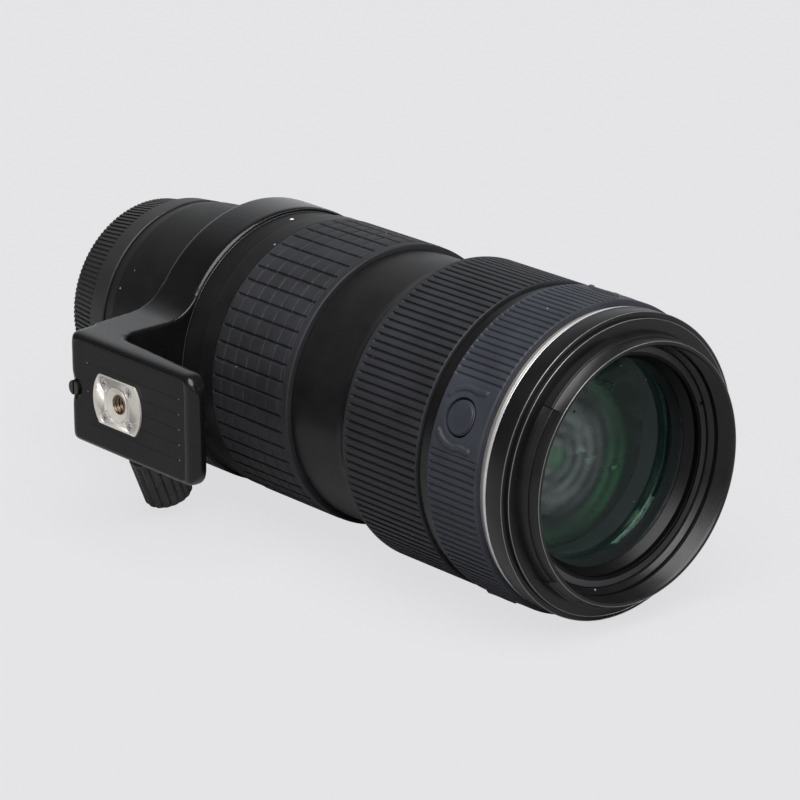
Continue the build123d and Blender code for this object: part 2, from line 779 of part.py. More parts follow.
def guard(side):
    """One curved guard beside a button, with a straight tail towards the front."""
    start = 180 + side * 20 if side > 0 else 180 - 20 - GUARD_SPAN
    first = math.radians(180 - side * 30)
    last = math.radians(180 - side * (30 + GUARD_SPAN))
    middle = (first + last) / 2
    points = [(GUARD_ARC_R * math.cos(a), GUARD_ARC_R * math.sin(a)) for a in (first, middle, last)]
    flat = trace(ThreePointArc(*points), GUARD_W)
    end = Vector(*points[2])
    flat += trace(Line(end, end + Vector(GUARD_TAIL_L, side * 0.3)), GUARD_W)
    for point in (Vector(*points[0]), end, end + Vector(GUARD_TAIL_L, side * 0.3)):
        flat += Pos(point.X, point.Y) * Circle(GUARD_W / 2)
    return flat


def button_grip():
    """Rubber ring with fine ribs, plain round each button, where two guards stand up."""
    grip = grooved(GRIP_R, GRIP_SEAT_R, GRIP_RIBS, GRIP_GROOVE_W, GRIP_GROOVE_DEEP,
                   GRIP_REAR + GRIP_RIM / 2, GRIP_FRONT - GRIP_RIM, start=GRIP_RIB_START,
                   skip=near_button)
    grip += tube(GRIP_REAR, GRIP_REAR + GRIP_RIM / 2, GRIP_SEAT_R, GRIP_R)
    grip += turned((GRIP_FRONT - GRIP_RIM, GRIP_SEAT_R), (GRIP_FRONT - GRIP_RIM, GRIP_R),
                   (GRIP_FRONT, GRIP_R, 0.9), (GRIP_FRONT, GRIP_SEAT_R))
    reach = turned((GRIP_REAR, GRIP_R - 1), (GRIP_REAR, GUARD_TOP_R, 0.4),
                   (GRIP_FRONT, GUARD_TOP_R, 0.4), (GRIP_FRONT, GRIP_R - 1))
    for angle in button_angles():
        for side in (1, -1):
            grip += radial(guard(side), BUTTON_FORWARD, angle, GRIP_R - 1, GRIP_R + 3) & reach
        grip -= radial(Circle(MOAT_R), BUTTON_FORWARD, angle, GRIP_SEAT_R - 1, GRIP_R + 3)
    return grip


def dome(radius):
    """The round body, as wide as the buttons, that curves their tops."""
    return turned((BUTTON_FORWARD - 10, BUTTON_SKIRT_R - 1), (BUTTON_FORWARD - 10, radius),
                  (BUTTON_FORWARD + 10, radius), (BUTTON_FORWARD + 10, BUTTON_SKIRT_R - 1))


def button(angle):
    """One round button: a cap with a stepped edge on a stem, curved like the ring."""
    cap = radial(Circle(BUTTON_R), BUTTON_FORWARD, angle, BUTTON_SKIRT_R, BUTTON_TOP_R + 1)
    cap = cap & dome(BUTTON_TOP_R - BUTTON_EDGE)
    face = radial(Circle(BUTTON_FACE_R), BUTTON_FORWARD, angle, BUTTON_SKIRT_R, BUTTON_TOP_R + 1)
    cap += face & dome(BUTTON_TOP_R)
    cap += radial(Circle(STEM_R), BUTTON_FORWARD, angle, STEM_END_R, BUTTON_SKIRT_R)
    return cap


def button_switches():
    """Flat switches inside the barrel, one under each button."""
    top = STEM_END_R - BUTTON_TRAVEL - 0.1
    flat = Rectangle(SWITCH_W, SWITCH_W)
    return [radial(flat, BUTTON_FORWARD, a, top - SWITCH_T, top) for a in button_angles()]


# Front end

def silver_ring():
    return turned((GRIP_FRONT, SPIGOT_R + SEAT), (GRIP_FRONT, SILVER_R, 0.2),
                  (SILVER_FRONT, SILVER_R, 0.5), (SILVER_FRONT, SPIGOT_R + SEAT))


def front_ring():
    """Black front ring: bare name band, step, hood bayonet tube and filter thread."""
    relief_rear = LIP_FRONT - FILTER_L - 0.9
    body = turned(
        (SILVER_FRONT, SPIGOT_R + SEAT), (SILVER_FRONT, SILVER_R + 0.1), (NAME_RING_FRONT, NAME_RING_R, 0.4),
        (NAME_RING_FRONT, STEP_R), (STEP_FRONT, STEP_R, 0.25), (STEP_FRONT, LUG_R),
        (LUG_REAR + LUG_L, LUG_R, 0.3), (LUG_REAR + LUG_L, LUG_R - 0.5), (TUBE_FORWARD, TUBE_R),
        (LIP_FRONT, LIP_R, 0.3), (LIP_FRONT, FILTER_R), (LIP_FRONT - FILTER_L, FILTER_R),
        (LIP_FRONT - FILTER_L, FILTER_R + FILTER_RELIEF), (relief_rear, FILTER_R + FILTER_RELIEF),
        (relief_rear, SHADE_R), (relief_rear - SHADE_SLOPE, RETAINER_R + SEAT),
        (SPIGOT_FRONT + 0.2, RETAINER_R + SEAT), (SPIGOT_FRONT + 0.2, SPIGOT_R + SEAT))
    for i in range(LUGS):
        body -= sector(STEP_FRONT, LUG_REAR + LUG_L + 1, LUG_R - LUG_DEEP, LUG_R + 1,
                       LUG_GAP_ANGLE + 360 * i / LUGS, LUG_GAP_SPAN)
    return body


def retaining_ring():
    """Grey ring that holds the front glass, with two notches for a spanner."""
    rear = RETAINER_FRONT - RETAINER_L
    body = turned((rear, RETAINER_BORE_R), (rear, RETAINER_R), (RETAINER_FRONT, RETAINER_R, 0.15),
                  (RETAINER_FRONT, RETAINER_BORE_R, 0.15))
    for angle in (NOTCH_ANGLE, NOTCH_ANGLE + 180):
        notch = Rot(0, 0, angle) * Pos(RETAINER_R, 0) * Rectangle(2.4, SPANNER_W)
        body -= along(notch, RETAINER_FRONT - SPANNER_DEEP, RETAINER_FRONT + 1)
    return body


def front_cell():
    """Barrel of the front glass, from the front barrel's shelf to the retaining ring."""
    rear = GRIP_REAR
    top = RETAINER_FRONT - RETAINER_L
    seat = glass_front() - FRONT_GLASS_EDGE
    shoulder = seat - 1.5
    return turned(
        (rear, CELL_REAR_BORE_R), (rear, CELL_FLANGE_R), (rear + CELL_FLANGE_T, CELL_FLANGE_R),
        (rear + CELL_FLANGE_T, CELL_BODY_R), (CELL_HEAD_REAR, CELL_BODY_R),
        (CELL_HEAD_REAR, CELL_FLANGE_R), (CELL_HEAD_FRONT, CELL_FLANGE_R),
        (CELL_HEAD_FRONT, RETAINER_R - 0.1), (top, RETAINER_R - 0.1), (top, RETAINER_BORE_R),
        (CELL_LIP_FORWARD + 0.3, CELL_LIP_R), (CELL_LIP_FORWARD, CELL_LIP_R),
        (CELL_LIP_FORWARD, FRONT_GLASS_R + SEAT), (seat, FRONT_GLASS_R + SEAT), (seat, INNER_GLASS_R - 1),
        (shoulder, INNER_GLASS_R - 1), (shoulder, INNER_GLASS_R + SEAT),
        (shoulder - INNER_GLASS_EDGE - 1.0, INNER_GLASS_R + SEAT),
        (shoulder - INNER_GLASS_EDGE - 1.0, CELL_REAR_BORE_R))


def glass_front():
    """Forward place of the front glass's edge, clear of the cell's lip where the face bulges."""
    bulge = FRONT_GLASS_SAG * (1 - (CELL_LIP_R / FRONT_GLASS_R)**2)
    return CELL_LIP_FORWARD - bulge - 0.05


def front_glass():
    front = glass_front()
    return glass(front - FRONT_GLASS_EDGE, front, FRONT_GLASS_R, 0.0, FRONT_GLASS_SAG)


def inner_glass():
    front = glass_front() - FRONT_GLASS_EDGE - 1.5
    return glass(front - INNER_GLASS_EDGE, front, INNER_GLASS_R, 0.8, -1.2)


# Iris

def iris_housing():
    wall = INNER_R - INNER_WALL - SEAT
    rear = IRIS_FORWARD
    body = turned((rear, IRIS_OPEN_R), (rear, wall), (rear + IRIS_L, wall),
                  (rear + IRIS_L, wall - IRIS_WALL), (rear + IRIS_PLATE_T, wall - IRIS_WALL),
                  (rear + IRIS_PLATE_T, IRIS_OPEN_R))
    for angle in blade_angles():
        body -= along(Rot(0, 0, angle) * Pos(IRIS_PIVOT_R, 0) * Circle(IRIS_PIN_R + RUN),
                      rear - 1, rear + IRIS_PLATE_T + 1)
    return body


def blade_angles():
    return [360.0 * i / IRIS_BLADES for i in range(IRIS_BLADES)]


def iris_blade(index):
    """One thin blade on its own level, with the pin that it swings on."""
    rear = IRIS_FORWARD + IRIS_PLATE_T + 0.5 + index * BLADE_STEP
    angle = blade_angles()[index]
    blade = sector(rear, rear + BLADE_T, BLADE_IN_R, BLADE_OUT_R, angle + BLADE_SPAN / 2 - 2, BLADE_SPAN)
    place = Rot(0, 0, angle) * Pos(IRIS_PIVOT_R, 0)
    ear = place * Circle(IRIS_EAR_R)
    ear += Rot(0, 0, angle) * Pos(BLADE_OUT_R, 0) * Rectangle(3.0, 2 * IRIS_EAR_R)
    blade += along(ear, rear, rear + BLADE_T)
    blade += along(place * Circle(IRIS_PIN_R), IRIS_FORWARD + 0.2, rear + BLADE_T)
    return blade


def iris_ring():
    """Ring over the blades that opens and closes them, with its lever."""
    rear = IRIS_FORWARD + IRIS_L - IRIS_RING_T - 0.2
    outer = INNER_R - INNER_WALL - SEAT - IRIS_WALL - RUN
    body = tube(rear, rear + IRIS_RING_T, IRIS_OPEN_R + 1.5, outer)
    lever = Rot(0, 0, 45) * Pos(outer - 3, 0) * Circle(1.2)
    return body + along(lever, rear, rear + IRIS_RING_T + 2.5)


# Rear group and electronics

def rear_cell():
    rear = FLANGE_T + 0.3
    bore = REAR_GLASS_R
    return turned((rear, bore - 2), (rear, REAR_CELL_R), (rear + REAR_CELL_L, REAR_CELL_R),
                  (rear + REAR_CELL_L, bore + SEAT), (rear + 1.5, bore + SEAT), (rear + 1.5, bore - 2))


def rear_glass():
    rear = FLANGE_T + 0.3 + 1.5
    first = glass(rear, rear + 6, REAR_GLASS_R, -0.6, 1.5)
    second = glass(rear + 11, rear + 17, REAR_GLASS_R, 1.2, 1.8)
    return [first, second]


def circuit_board():
    """Ring-shaped board with a few chips, behind the iris."""
    outer = REAR_WALL_R - SEAT - SPIGOT_WALL - SEAT
    board = tube(BOARD_FORWARD, BOARD_FORWARD + BOARD_T, BOARD_BORE_R, outer)
    middle = (BOARD_BORE_R + outer) / 2
    for angle, size in ((40, 5), (95, 4), (170, 5.5), (250, 4.5), (320, 3.5)):
        chip = Rot(0, 0, angle) * Pos(middle, 0) * Rectangle(size, size)
        board += along(chip, BOARD_FORWARD + BOARD_T, BOARD_FORWARD + BOARD_T + 0.9)
    return board


# Collar, foot and clamp

def clamp_axis():
    """Plane at the knob's free end, its z along the screw towards the collar."""
    tilt = math.radians(CLAMP_TILT)
    up = Vector(-math.sin(tilt), 0, math.cos(tilt))
    return Plane(origin=(CLAMP_END_X, -CLAMP_FORWARD, CLAMP_END_Z), x_dir=(0, -1, 0), z_dir=up)


def arm_section():
    """Cross-section of arm and foot: two flanks that flare out to the collar in wide hollows."""
    half = ARM_H / 2
    foot = FOOT_H / 2
    centre_z = half + ARM_FLARE
    meet = COLLAR_R - ARM_SINK
    centre_x = -math.sqrt((meet + ARM_FLARE)**2 - centre_z**2)
    share = meet / (meet + ARM_FLARE)
    touch = (centre_x * share, centre_z * share)
    lean = math.atan2(touch[1] - centre_z, touch[0] - centre_x)
    bend = (lean - math.pi / 2) / 2
    middle = (centre_x + ARM_FLARE * math.cos(bend), centre_z + ARM_FLARE * math.sin(bend))
    low = (centre_x, half)

    def flip(point):
        return (point[0], -point[1])

    inner = -FOOT_X + FOOT_T
    corner = FOOT_ROUND
    edges = [
        Line((-25, touch[1] * 0.6), touch), ThreePointArc(touch, middle, low),
        Line(low, (inner, foot)), Line((inner, foot), (-FOOT_X + corner, foot)),
        ThreePointArc((-FOOT_X + corner, foot),
                      (-FOOT_X + corner * 0.293, foot - corner * 0.293),
                      (-FOOT_X, foot - corner)),
        Line((-FOOT_X, foot - corner), (-FOOT_X, corner - foot)),
        ThreePointArc((-FOOT_X, corner - foot),
                      (-FOOT_X + corner * 0.293, corner * 0.293 - foot),
                      (-FOOT_X + corner, -foot)),
        Line((-FOOT_X + corner, -foot), (inner, -foot)), Line((inner, -foot), flip(low)),
        ThreePointArc(flip(low), flip(middle), flip(touch)), Line(flip(touch), (-25, -touch[1] * 0.6)),
        Line((-25, -touch[1] * 0.6), (-25, touch[1] * 0.6)),
    ]
    return make_face(edges)


def arm_and_foot():
    """The casting's side view, crossed with its section and with the foot's own outline."""
    rear, front = COLLAR_REAR, COLLAR_FRONT
    nose = FOOT_REAR + FOOT_L
    inner = -FOOT_X + FOOT_T
    thin = -FOOT_X + FOOT_END_T
    side = outline([(-25, -rear), (-COLLAR_R, -rear), (-FOOT_X, -FOOT_REAR, FOOT_ROUND, 0.03),
                    (-FOOT_X, -nose, FOOT_NOSE, 0.03), (thin, -nose, FOOT_NOSE - 0.2, 0.03),
                    (inner, -front, ARM_CORNER), (-25, -front)])
    slab = extrude(Plane.XY.offset(-60) * side, amount=120)
    section = along(arm_section(), rear - 1, nose + 1)
    half = FOOT_H / 2
    seen = outline([(-rear + 2, 60), (-rear + 2, -60), (-front - 5, -60), (-front - 5, -half - 1),
                    (-nose, -half - 1, FOOT_CORNER), (-nose, half + 1, FOOT_CORNER), (-front - 5, half + 1),
                    (-front - 5, 60)])
    plan = Plane(origin=(-FOOT_X - 5, 0, 0), x_dir=(0, 1, 0), z_dir=(1, 0, 0))
    keep = extrude(plan * seen, amount=80)
    return slab & section & keep


def tripod_collar():
    """Ring, arm, foot and clamp lug, one casting, split at the clamp."""
    body = turned((COLLAR_REAR, COLLAR_BORE_R), (COLLAR_REAR, COLLAR_R, COLLAR_ROUND),
                  (COLLAR_FRONT, COLLAR_R, COLLAR_ROUND), (COLLAR_FRONT, COLLAR_BORE_R))
    body += arm_and_foot()
    lug = extrude(clamp_axis().offset(KNOB_L + GAP) * clamp_lug_flat(), amount=CLAMP_LUG_L)
    body += lug - arm_end_clear()
    body -= tube(COLLAR_REAR - 5, COLLAR_FRONT + 5, 0, COLLAR_BORE_R)
    body -= extrude(clamp_axis().offset(KNOB_L) * Circle(CLAMP_SCREW_D / 2 + RUN),
                    amount=CLAMP_LUG_L + 6)
    slit = clamp_axis().offset(KNOB_L + GAP + CLAMP_LUG_L * 0.45)
    body -= extrude(slit * Pos(0, 0) * Rectangle(COLLAR_W + 10, 40), amount=CLAMP_SLIT) & slit_room()
    body -= panel_block(0.0)
    body -= plate_pocket()
    body -= stop_notch()
    return body


def clamp_lug_flat():
    """Lug seen along the screw: round at the screw, running in to the ring."""
    flat = Circle(CLAMP_LUG_R)
    flat += Pos(0, CLAMP_LUG_R) * Rectangle(2 * CLAMP_LUG_R, 2 * CLAMP_LUG_R)
    return flat


def arm_end_clear():
    return tube(COLLAR_REAR - 5, COLLAR_FRONT + 5, 0, COLLAR_BORE_R)


def slit_room():
    """Space in which the slit cuts: from the ring's bore out past the lug, below the arm."""
    return Pos(-49, -CLAMP_FORWARD, -26) * Box(32, COLLAR_W + 10, 16)


def panel_flat(spare):
    half = FOOT_H / 2 - PANEL_BORDER - spare
    rear = -(FOOT_REAR + PANEL_BORDER + 0.8 + spare)
    front = -(PANEL_FRONT - spare)
    return outline([(rear, half, 2.0), (rear, -half, 2.0), (front, -half, 2.0), (front, half, 2.0)])


def face_plane(depth):
    """Plane parallel to the foot's face, its z into the foot."""
    return Plane(origin=(-FOOT_X + depth, 0, 0), x_dir=(0, 1, 0), z_dir=(1, 0, 0))


def panel_block(spare):
    """The shallow panel in the foot's face."""
    return extrude(face_plane(-1) * panel_flat(spare), amount=1 + PANEL_DEPTH)


def plate_flat(spare):
    ring = Pos(-SOCKET_FORWARD, 0) * Circle(PLATE_R + spare)
    band = Pos(-SOCKET_FORWARD, 0) * Rectangle(2 * PLATE_R + 4, PLATE_FLATS + 2 * spare)
    return ring & band


def foot_panel():
    """Matt panel in the foot's face, cut out for the socket plate and the stop screw."""
    body = extrude(face_plane(PANEL_DEPTH - 0.35) * panel_flat(SEAT), amount=0.35)
    body -= extrude(face_plane(-2) * plate_flat(SEAT), amount=6)
    return body - stop_notch()


def plate_pocket():
    body = extrude(face_plane(0) * plate_flat(SEAT), amount=PLATE_T - PLATE_PROUD)
    hole = Pos(-SOCKET_FORWARD, 0) * Circle(SOCKET_BOSS_R + SEAT)
    body += extrude(face_plane(0) * hole, amount=SOCKET_DEPTH + 1.0)
    for place in plate_screw_places():
        body += extrude(face_plane(0) * (place * Circle(SCREW_D / 2 + SEAT)), amount=6.5)
    return body


def plate_screw_places():
    return [Pos(-SOCKET_FORWARD + a * PLATE_SCREW_ALONG, b * PLATE_SCREW_ACROSS)
            for a in (1, -1) for b in (1, -1)]


def socket_plate():
    """Steel plate with the tripod thread, cut by two flats and held by four screws."""
    body = extrude(face_plane(-PLATE_PROUD) * plate_flat(0), amount=PLATE_T)
    centre = Pos(-SOCKET_FORWARD, 0)
    body += extrude(face_plane(0) * (centre * Circle(SOCKET_BOSS_R)), amount=SOCKET_DEPTH + 0.8)
    body -= extrude(face_plane(-2) * (centre * Circle(SOCKET_R)), amount=SOCKET_DEPTH + 2)
    for place in plate_screw_places():
        body -= extrude(face_plane(-1) * (place * Circle(PLATE_SCREW_HEAD_D / 2 + SEAT)),
                        amount=1 + PLATE_T - PLATE_PROUD - 0.6)
        body -= extrude(face_plane(-1) * (place * Circle(SCREW_D / 2 + SEAT)), amount=4)
    return body


def socket_screws():
    screws = []
    for place in plate_screw_places():
        head = extrude(face_plane(-PLATE_PROUD + 0.1) * (place * Circle(PLATE_SCREW_HEAD_D / 2)),
                       amount=PLATE_T - 0.1 - 0.6)
        head += extrude(face_plane(0) * (place * Circle(SCREW_D / 2)), amount=6.3)
        for wide, high in ((2.2, 0.55), (0.55, 2.2)):
            head -= extrude(face_plane(-PLATE_PROUD) * (place * Rectangle(wide, high)), amount=0.7)
        screws.append(head)
    return screws


def stop_notch():
    """Round notch at the foot's rear edge, with the hole of the stop screw."""
    place = Pos(-STOP_FORWARD, 0)
    body = extrude(face_plane(-2) * (place * Circle(STOP_NOTCH_D / 2)), amount=2 + 1.2)
    return body + extrude(face_plane(0) * (place * Circle(STOP_SCREW_SHANK_D / 2 + SEAT)), amount=STOP_SCREW_L + 0.2)


def stop_screw():
    """Slotted screw whose head stands half over the foot's rear edge."""
    place = Pos(-STOP_FORWARD, 0)
    body = extrude(face_plane(-0.3) * (place * Circle(STOP_SCREW_D / 2)), amount=1.5)
    body += extrude(face_plane(0) * (place * Circle(STOP_SCREW_SHANK_D / 2)), amount=STOP_SCREW_L)
    return body - extrude(face_plane(-0.3) * (place * Rectangle(0.8, STOP_SCREW_D + 1)), amount=0.7)


def clamp_screw():
    """Screw of the clamp, fixed in the knob."""
    return extrude(clamp_axis().offset(KNOB_L - 6) * Circle(CLAMP_SCREW_D / 2), amount=6 + CLAMP_LUG_L)


def clamp_knob():
    """Fluted knob that narrows to a rounded end."""
    profile = outline([(0, 0), (KNOB_END_R, 0, KNOB_ROUND), (KNOB_R, KNOB_L - 3.0),
                       (KNOB_R, KNOB_L, 0.8), (0, KNOB_L)])
    body = revolve(Plane.XZ * profile, Axis.Z)
    lean = math.degrees(math.atan2(KNOB_R - KNOB_END_R, KNOB_L - 3.0))
    for i in range(KNOB_FLUTES):
        flute = Pos(KNOB_R + 0.5, 0, KNOB_L - 3.0) * Rot(0, lean, 0) * Cylinder(KNOB_FLUTE_D / 2, 60)
        body -= Rot(0, 0, 360 * i / KNOB_FLUTES) * flute
    body -= Pos(0, 0, KNOB_L - 6) * Cylinder(CLAMP_SCREW_D / 2 + SEAT, 12, align=(
        Align.CENTER, Align.CENTER, Align.MIN))
    return clamp_axis().location * body


# Rear cap

def toothed(outer, deep):
    """Flat outline of the cap's ribs, with straight-sided teeth."""
    half = math.degrees(CAP_GROOVE_W / outer) / 2
    pitch = 360 / CAP_RIBS
    points = []
    for i in range(CAP_RIBS):
        for angle, radius in ((half, outer), (pitch - half, outer), (pitch - half, outer - deep),
                              (pitch + half, outer - deep)):
            turn = math.radians(i * pitch + angle)
            points.append((radius * math.cos(turn), radius * math.sin(turn)))
    return make_face(Polyline(*points, close=True))


def ribbed_cone(rear, front):
    """The ribs, which narrow towards the cap's back."""
    share = CAP_BACK_R / CAP_RIB_R
    wide = Plane(origin=(0, -front, 0), x_dir=(1, 0, 0), z_dir=(0, -1, 0)) * toothed(CAP_RIB_R, CAP_RIB_DEEP)
    slim = Plane(origin=(0, -rear, 0), x_dir=(1, 0, 0), z_dir=(0, -1, 0)) * toothed(
        CAP_BACK_R, CAP_RIB_DEEP * share)
    return loft([slim, wide], ruled=True)


def rear_cap():
    """Cap over the mount: ribbed at the back, smooth in front, with three lugs inside."""
    rib_front = -CAP_BAND_L
    back = -CAP_L
    floor = back + CAP_BOTTOM_T
    hollow_r = CAP_RIB_R - CAP_WALL
    ends = turned((back, 0), (back, CAP_BACK_R + 0.3, CAP_ROUND), (rib_front + 1, CAP_RIB_R + 1),
                  (rib_front + 1, 0))
    body = ribbed_cone(back, rib_front) & ends
    body += turned((rib_front, 0), (rib_front, CAP_BAND_R), (-GAP, CAP_R, 0.5), (-GAP, 0))
    body -= turned((floor, 0), (floor, CAP_BACK_R - CAP_WALL), (rib_front, hollow_r), (1, hollow_r), (1, 0))
    for i in range(TAB_COUNT):
        body += sector(-TAB_T - CAP_LUG_T, -TAB_T, CAP_LUG_R, hollow_r + 0.3, 360 * (i + 0.5) / TAB_COUNT,
                       CAP_LUG_SPAN)
    return body


def pieces():
    """Every node's name and its solids."""
    made = {
        "mount_bayonet": mount_bayonet(),
        "mount_screws": mount_screws(),
        "contact_block": contact_block(),
        "contact_pins": contact_pins(),
        "rear_barrel": rear_barrel(),
        "inner_barrel": inner_barrel(),
        "zoom_ring": zoom_ring(),
        "zoom_grip": zoom_grip(),
        "zoom_keys": zoom_keys(),
        "cam_tube": cam_tube(),
        "guide_tube": guide_tube(),
        "variator_cell": group_cell(VARIATOR_FORWARD, VARIATOR_L, VARIATOR_PIN_ANGLE),
        "variator_glass": group_glass(VARIATOR_FORWARD, VARIATOR_L, -2.0, -2.2),
        "compensator_cell": group_cell(COMPENSATOR_FORWARD, COMPENSATOR_L, COMPENSATOR_PIN_ANGLE),
        "compensator_glass": group_glass(COMPENSATOR_FORWARD, COMPENSATOR_L, 0.0, 1.4),
        "mid_barrel": mid_barrel(),
        "distance_window": distance_window(),
        "scale_drum": scale_drum(),
        "front_barrel": front_barrel(),
        "focus_ring": focus_ring(),
        "focus_grip": focus_grip(),
        "guide_rods": guide_rods(),
        "drive_screw": drive_screw(),
        "focus_motor": focus_motor(),
        "focus_cell": focus_cell(),
        "focus_glass": focus_glass(),
        "button_grip": button_grip(),
        "button_switches": button_switches(),
        "silver_ring": silver_ring(),
        "front_ring": front_ring(),
        "retaining_ring": retaining_ring(),
        "front_cell": front_cell(),
        "front_glass": front_glass(),
        "inner_glass": inner_glass(),
        "iris_housing": iris_housing(),
        "iris_ring": iris_ring(),
        "rear_cell": rear_cell(),
        "rear_glass": rear_glass(),
        "circuit_board": circuit_board(),
        "tripod_collar": tripod_collar(),
        "foot_panel": foot_panel(),
        "socket_plate": socket_plate(),
        "socket_screws": socket_screws(),
        "stop_screw": stop_screw(),
        "clamp_screw": clamp_screw(),
        "clamp_knob": clamp_knob(),
        "rear_cap": rear_cap(),
    }
    for i, angle in enumerate(button_angles()):
        made[f"button_{i + 1}"] = button(angle)
    for i in range(IRIS_BLADES):
        made[f"iris_blade_{i + 1}"] = iris_blade(i)
    return made


os.makedirs("parts", exist_ok=True)
for name, shape in pieces().items():
    solids = shape if isinstance(shape, list) else [shape]
    export_step(Compound(children=[s for item in solids for s in item.solids()]), f"parts/{name}.step")
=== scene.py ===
import math

import bmesh
import bpy
import numpy as np
from mathutils import Matrix, Vector


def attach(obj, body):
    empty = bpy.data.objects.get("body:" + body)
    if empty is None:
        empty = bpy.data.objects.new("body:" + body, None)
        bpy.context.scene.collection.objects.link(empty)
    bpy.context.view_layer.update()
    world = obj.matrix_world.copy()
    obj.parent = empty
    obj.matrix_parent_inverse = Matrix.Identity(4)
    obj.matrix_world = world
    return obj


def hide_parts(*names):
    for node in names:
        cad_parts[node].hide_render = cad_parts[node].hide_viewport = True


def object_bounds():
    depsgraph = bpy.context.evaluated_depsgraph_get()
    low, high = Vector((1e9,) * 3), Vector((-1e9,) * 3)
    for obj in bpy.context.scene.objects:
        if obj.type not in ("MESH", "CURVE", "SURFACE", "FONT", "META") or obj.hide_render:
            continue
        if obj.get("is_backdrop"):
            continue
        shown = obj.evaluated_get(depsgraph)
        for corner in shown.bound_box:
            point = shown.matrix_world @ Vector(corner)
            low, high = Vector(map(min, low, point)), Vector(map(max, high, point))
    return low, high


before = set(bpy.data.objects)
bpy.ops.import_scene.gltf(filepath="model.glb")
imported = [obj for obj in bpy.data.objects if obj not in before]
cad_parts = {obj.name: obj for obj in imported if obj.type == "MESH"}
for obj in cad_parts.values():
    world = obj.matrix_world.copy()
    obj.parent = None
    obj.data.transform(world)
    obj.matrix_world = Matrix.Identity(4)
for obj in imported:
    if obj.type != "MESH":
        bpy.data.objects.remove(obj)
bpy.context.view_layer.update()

# A tele zoom lens on its side. Lengths are millimetres until they reach a mesh.
# "Forward" is the distance from the mount's flange towards the front lip, so y = -forward.
# An angle round the lens starts at +X and grows towards +Z.
MM = 0.001
TAU = 2 * math.pi

# Camera, from the rings in the photograph
CAMERA_PLACE = (-731.3, -948.3, 379.2)
CAMERA_AZIMUTH = -40.91
CAMERA_ELEVATION = 19.01
FOCAL_MM = 170.8
SHIFT = (0.0014, 0.0031)

# Zoom sleeve
SLEEVE_R = 45.1
SLEEVE_BASE_R = 43.2
SLEEVE_ENDS = (67.4, 104.1)
TILES = (68.2, 101.4)
TILE_ROWS = 53
TILE_START = 4.45
TILE_GROOVE = (1.0, 0.75)
TILE_LINE = (0.42, 0.24)
TILE_STEP = 5.48
TILE_LINES = [72.4 + TILE_STEP * i for i in range(6)]
BAND_R = 44.9

# Focus sleeve
FOCUS_R = 47.8
FOCUS_BASE_R = 46.4
FOCUS_ENDS = (133.5, 166.8)
FOCUS_RIMS = (1.4, 0.35)
FOCUS_RIBS = 118
FOCUS_START = 0.0
FOCUS_GROOVE = (1.0, 0.85)

# Button ring
RING_R = 48.0
RING_BASE_R = 45.6
RING_ENDS = (171.8, 192.8)
RING_RIBS = 132
RING_START = 133.0
RING_GROOVE = (1.0, 0.55)
PLAIN_HALF = 10.9
BUTTON_FORWARD = 181.6
BUTTON_ANGLES = [155.5, 245.5, 335.5, 65.5]
BUTTON_R = 5.3
BUTTON_FACE_R = 4.9
BUTTON_TOP_R = 48.1
BUTTON_EDGE = 0.4
BUTTON_FLOOR_R = 43.9
MOAT_R = 6.0
# Grid round a button: how far its fine columns reach, and where the square rows bend round the moat
FINE_INNER = 5.4
FINE_OUTER = 6.5
BEND_REACH = 8.2
BEND_SOFT = 1.9
GUARD_ARC_R = 9.0
GUARD_W = 1.9
GUARD_H = 0.6

# Front ring, from back to front: bare name band, step, hood tube, lip and thread
SEAT_R = 44.3
BAND_ENDS = (195.95, 202.7)
BAND_RS = (46.75, 46.88)
STEP_R = 45.1
TUBE_REAR = 204.0
LUG_FRONT = 207.5
NOSE = [(207.5, 41.2), (209.5, 40.28)]
FRONT_BORE_R = 36.8
FRONT_BORE_REAR = 199.0
THREAD_START = 0.35
THREAD_DEEP = 0.34
RELIEF_DEEP = 0.5
RELIEF_L = 0.9
LIP_FRONT = 211.2
LIP_R = 40.0
FILTER_R = 38.5
FILTER_L = 6.2
THREAD_PITCH = 0.75
HOOD_R = 41.7
HOOD_GAP_ANGLE = 180.0
HOOD_GAP_SPAN = 80.0
HOOD_GAP_DEEP = 0.7

# Painted reflections in the glass, faint images drawn as a glow and placed as listed: where they gather,
# across and up from the axis, then the two ripples (how close, how strong), where the grey fades, the
# crescent's start, top and end, the patch, which way the crescent is brightest, and the tones
GHOST_PLACE = (-12.0, 2.0)
GHOST_RIPPLES = ((1.7, 0.16), (0.6, 0.18))
GHOST_FADE = (7.0, 25.0)
GHOST_CRESCENT = (20.5, 23.5, 25.5)
GHOST_PATCH = (1.0, 4.5)
GHOST_BRIGHT = (19.0, 24.0)
GHOST_WAY = (0.87, -0.5)
GHOST_TONES = ((0.0, 0.001, 0.001), (0.1, 0.1, 0.106), (0.014, 0.06, 0.024))
GLASS_CLEAR = (0.85, 0.9, 0.88)

# Silver ring: forward places of its two strips, and the slope and the strip as (forward, radius, rounding)
TRIM_REAR, TRIM_MIDDLE, TRIM_FRONT = 192.82, 194.75, 195.88
TRIM_SLOPE = [(TRIM_REAR, 45.9), (194.55, 46.5, 0.1), (TRIM_MIDDLE, 46.4)]
TRIM_STRIP = [(TRIM_MIDDLE, 46.42), (194.95, 46.58, 0.08), (195.7, 46.58, 0.1), (TRIM_FRONT, 46.4)]

# Shoulder between the middle barrel and the focus sleeve: its outside and its inside
SHOULDER_CURVE = [(125.5, 43.22), (126.9, 43.3), (128.2, 43.6), (129.3, 44.2), (130.5, 45.05), (131.7, 45.9),
                  (132.6, 46.45), (133.1, 46.6)]
SHOULDER_BACK = [(133.1, 45.9), (129.5, 43.1), (125.5, 43.05)]

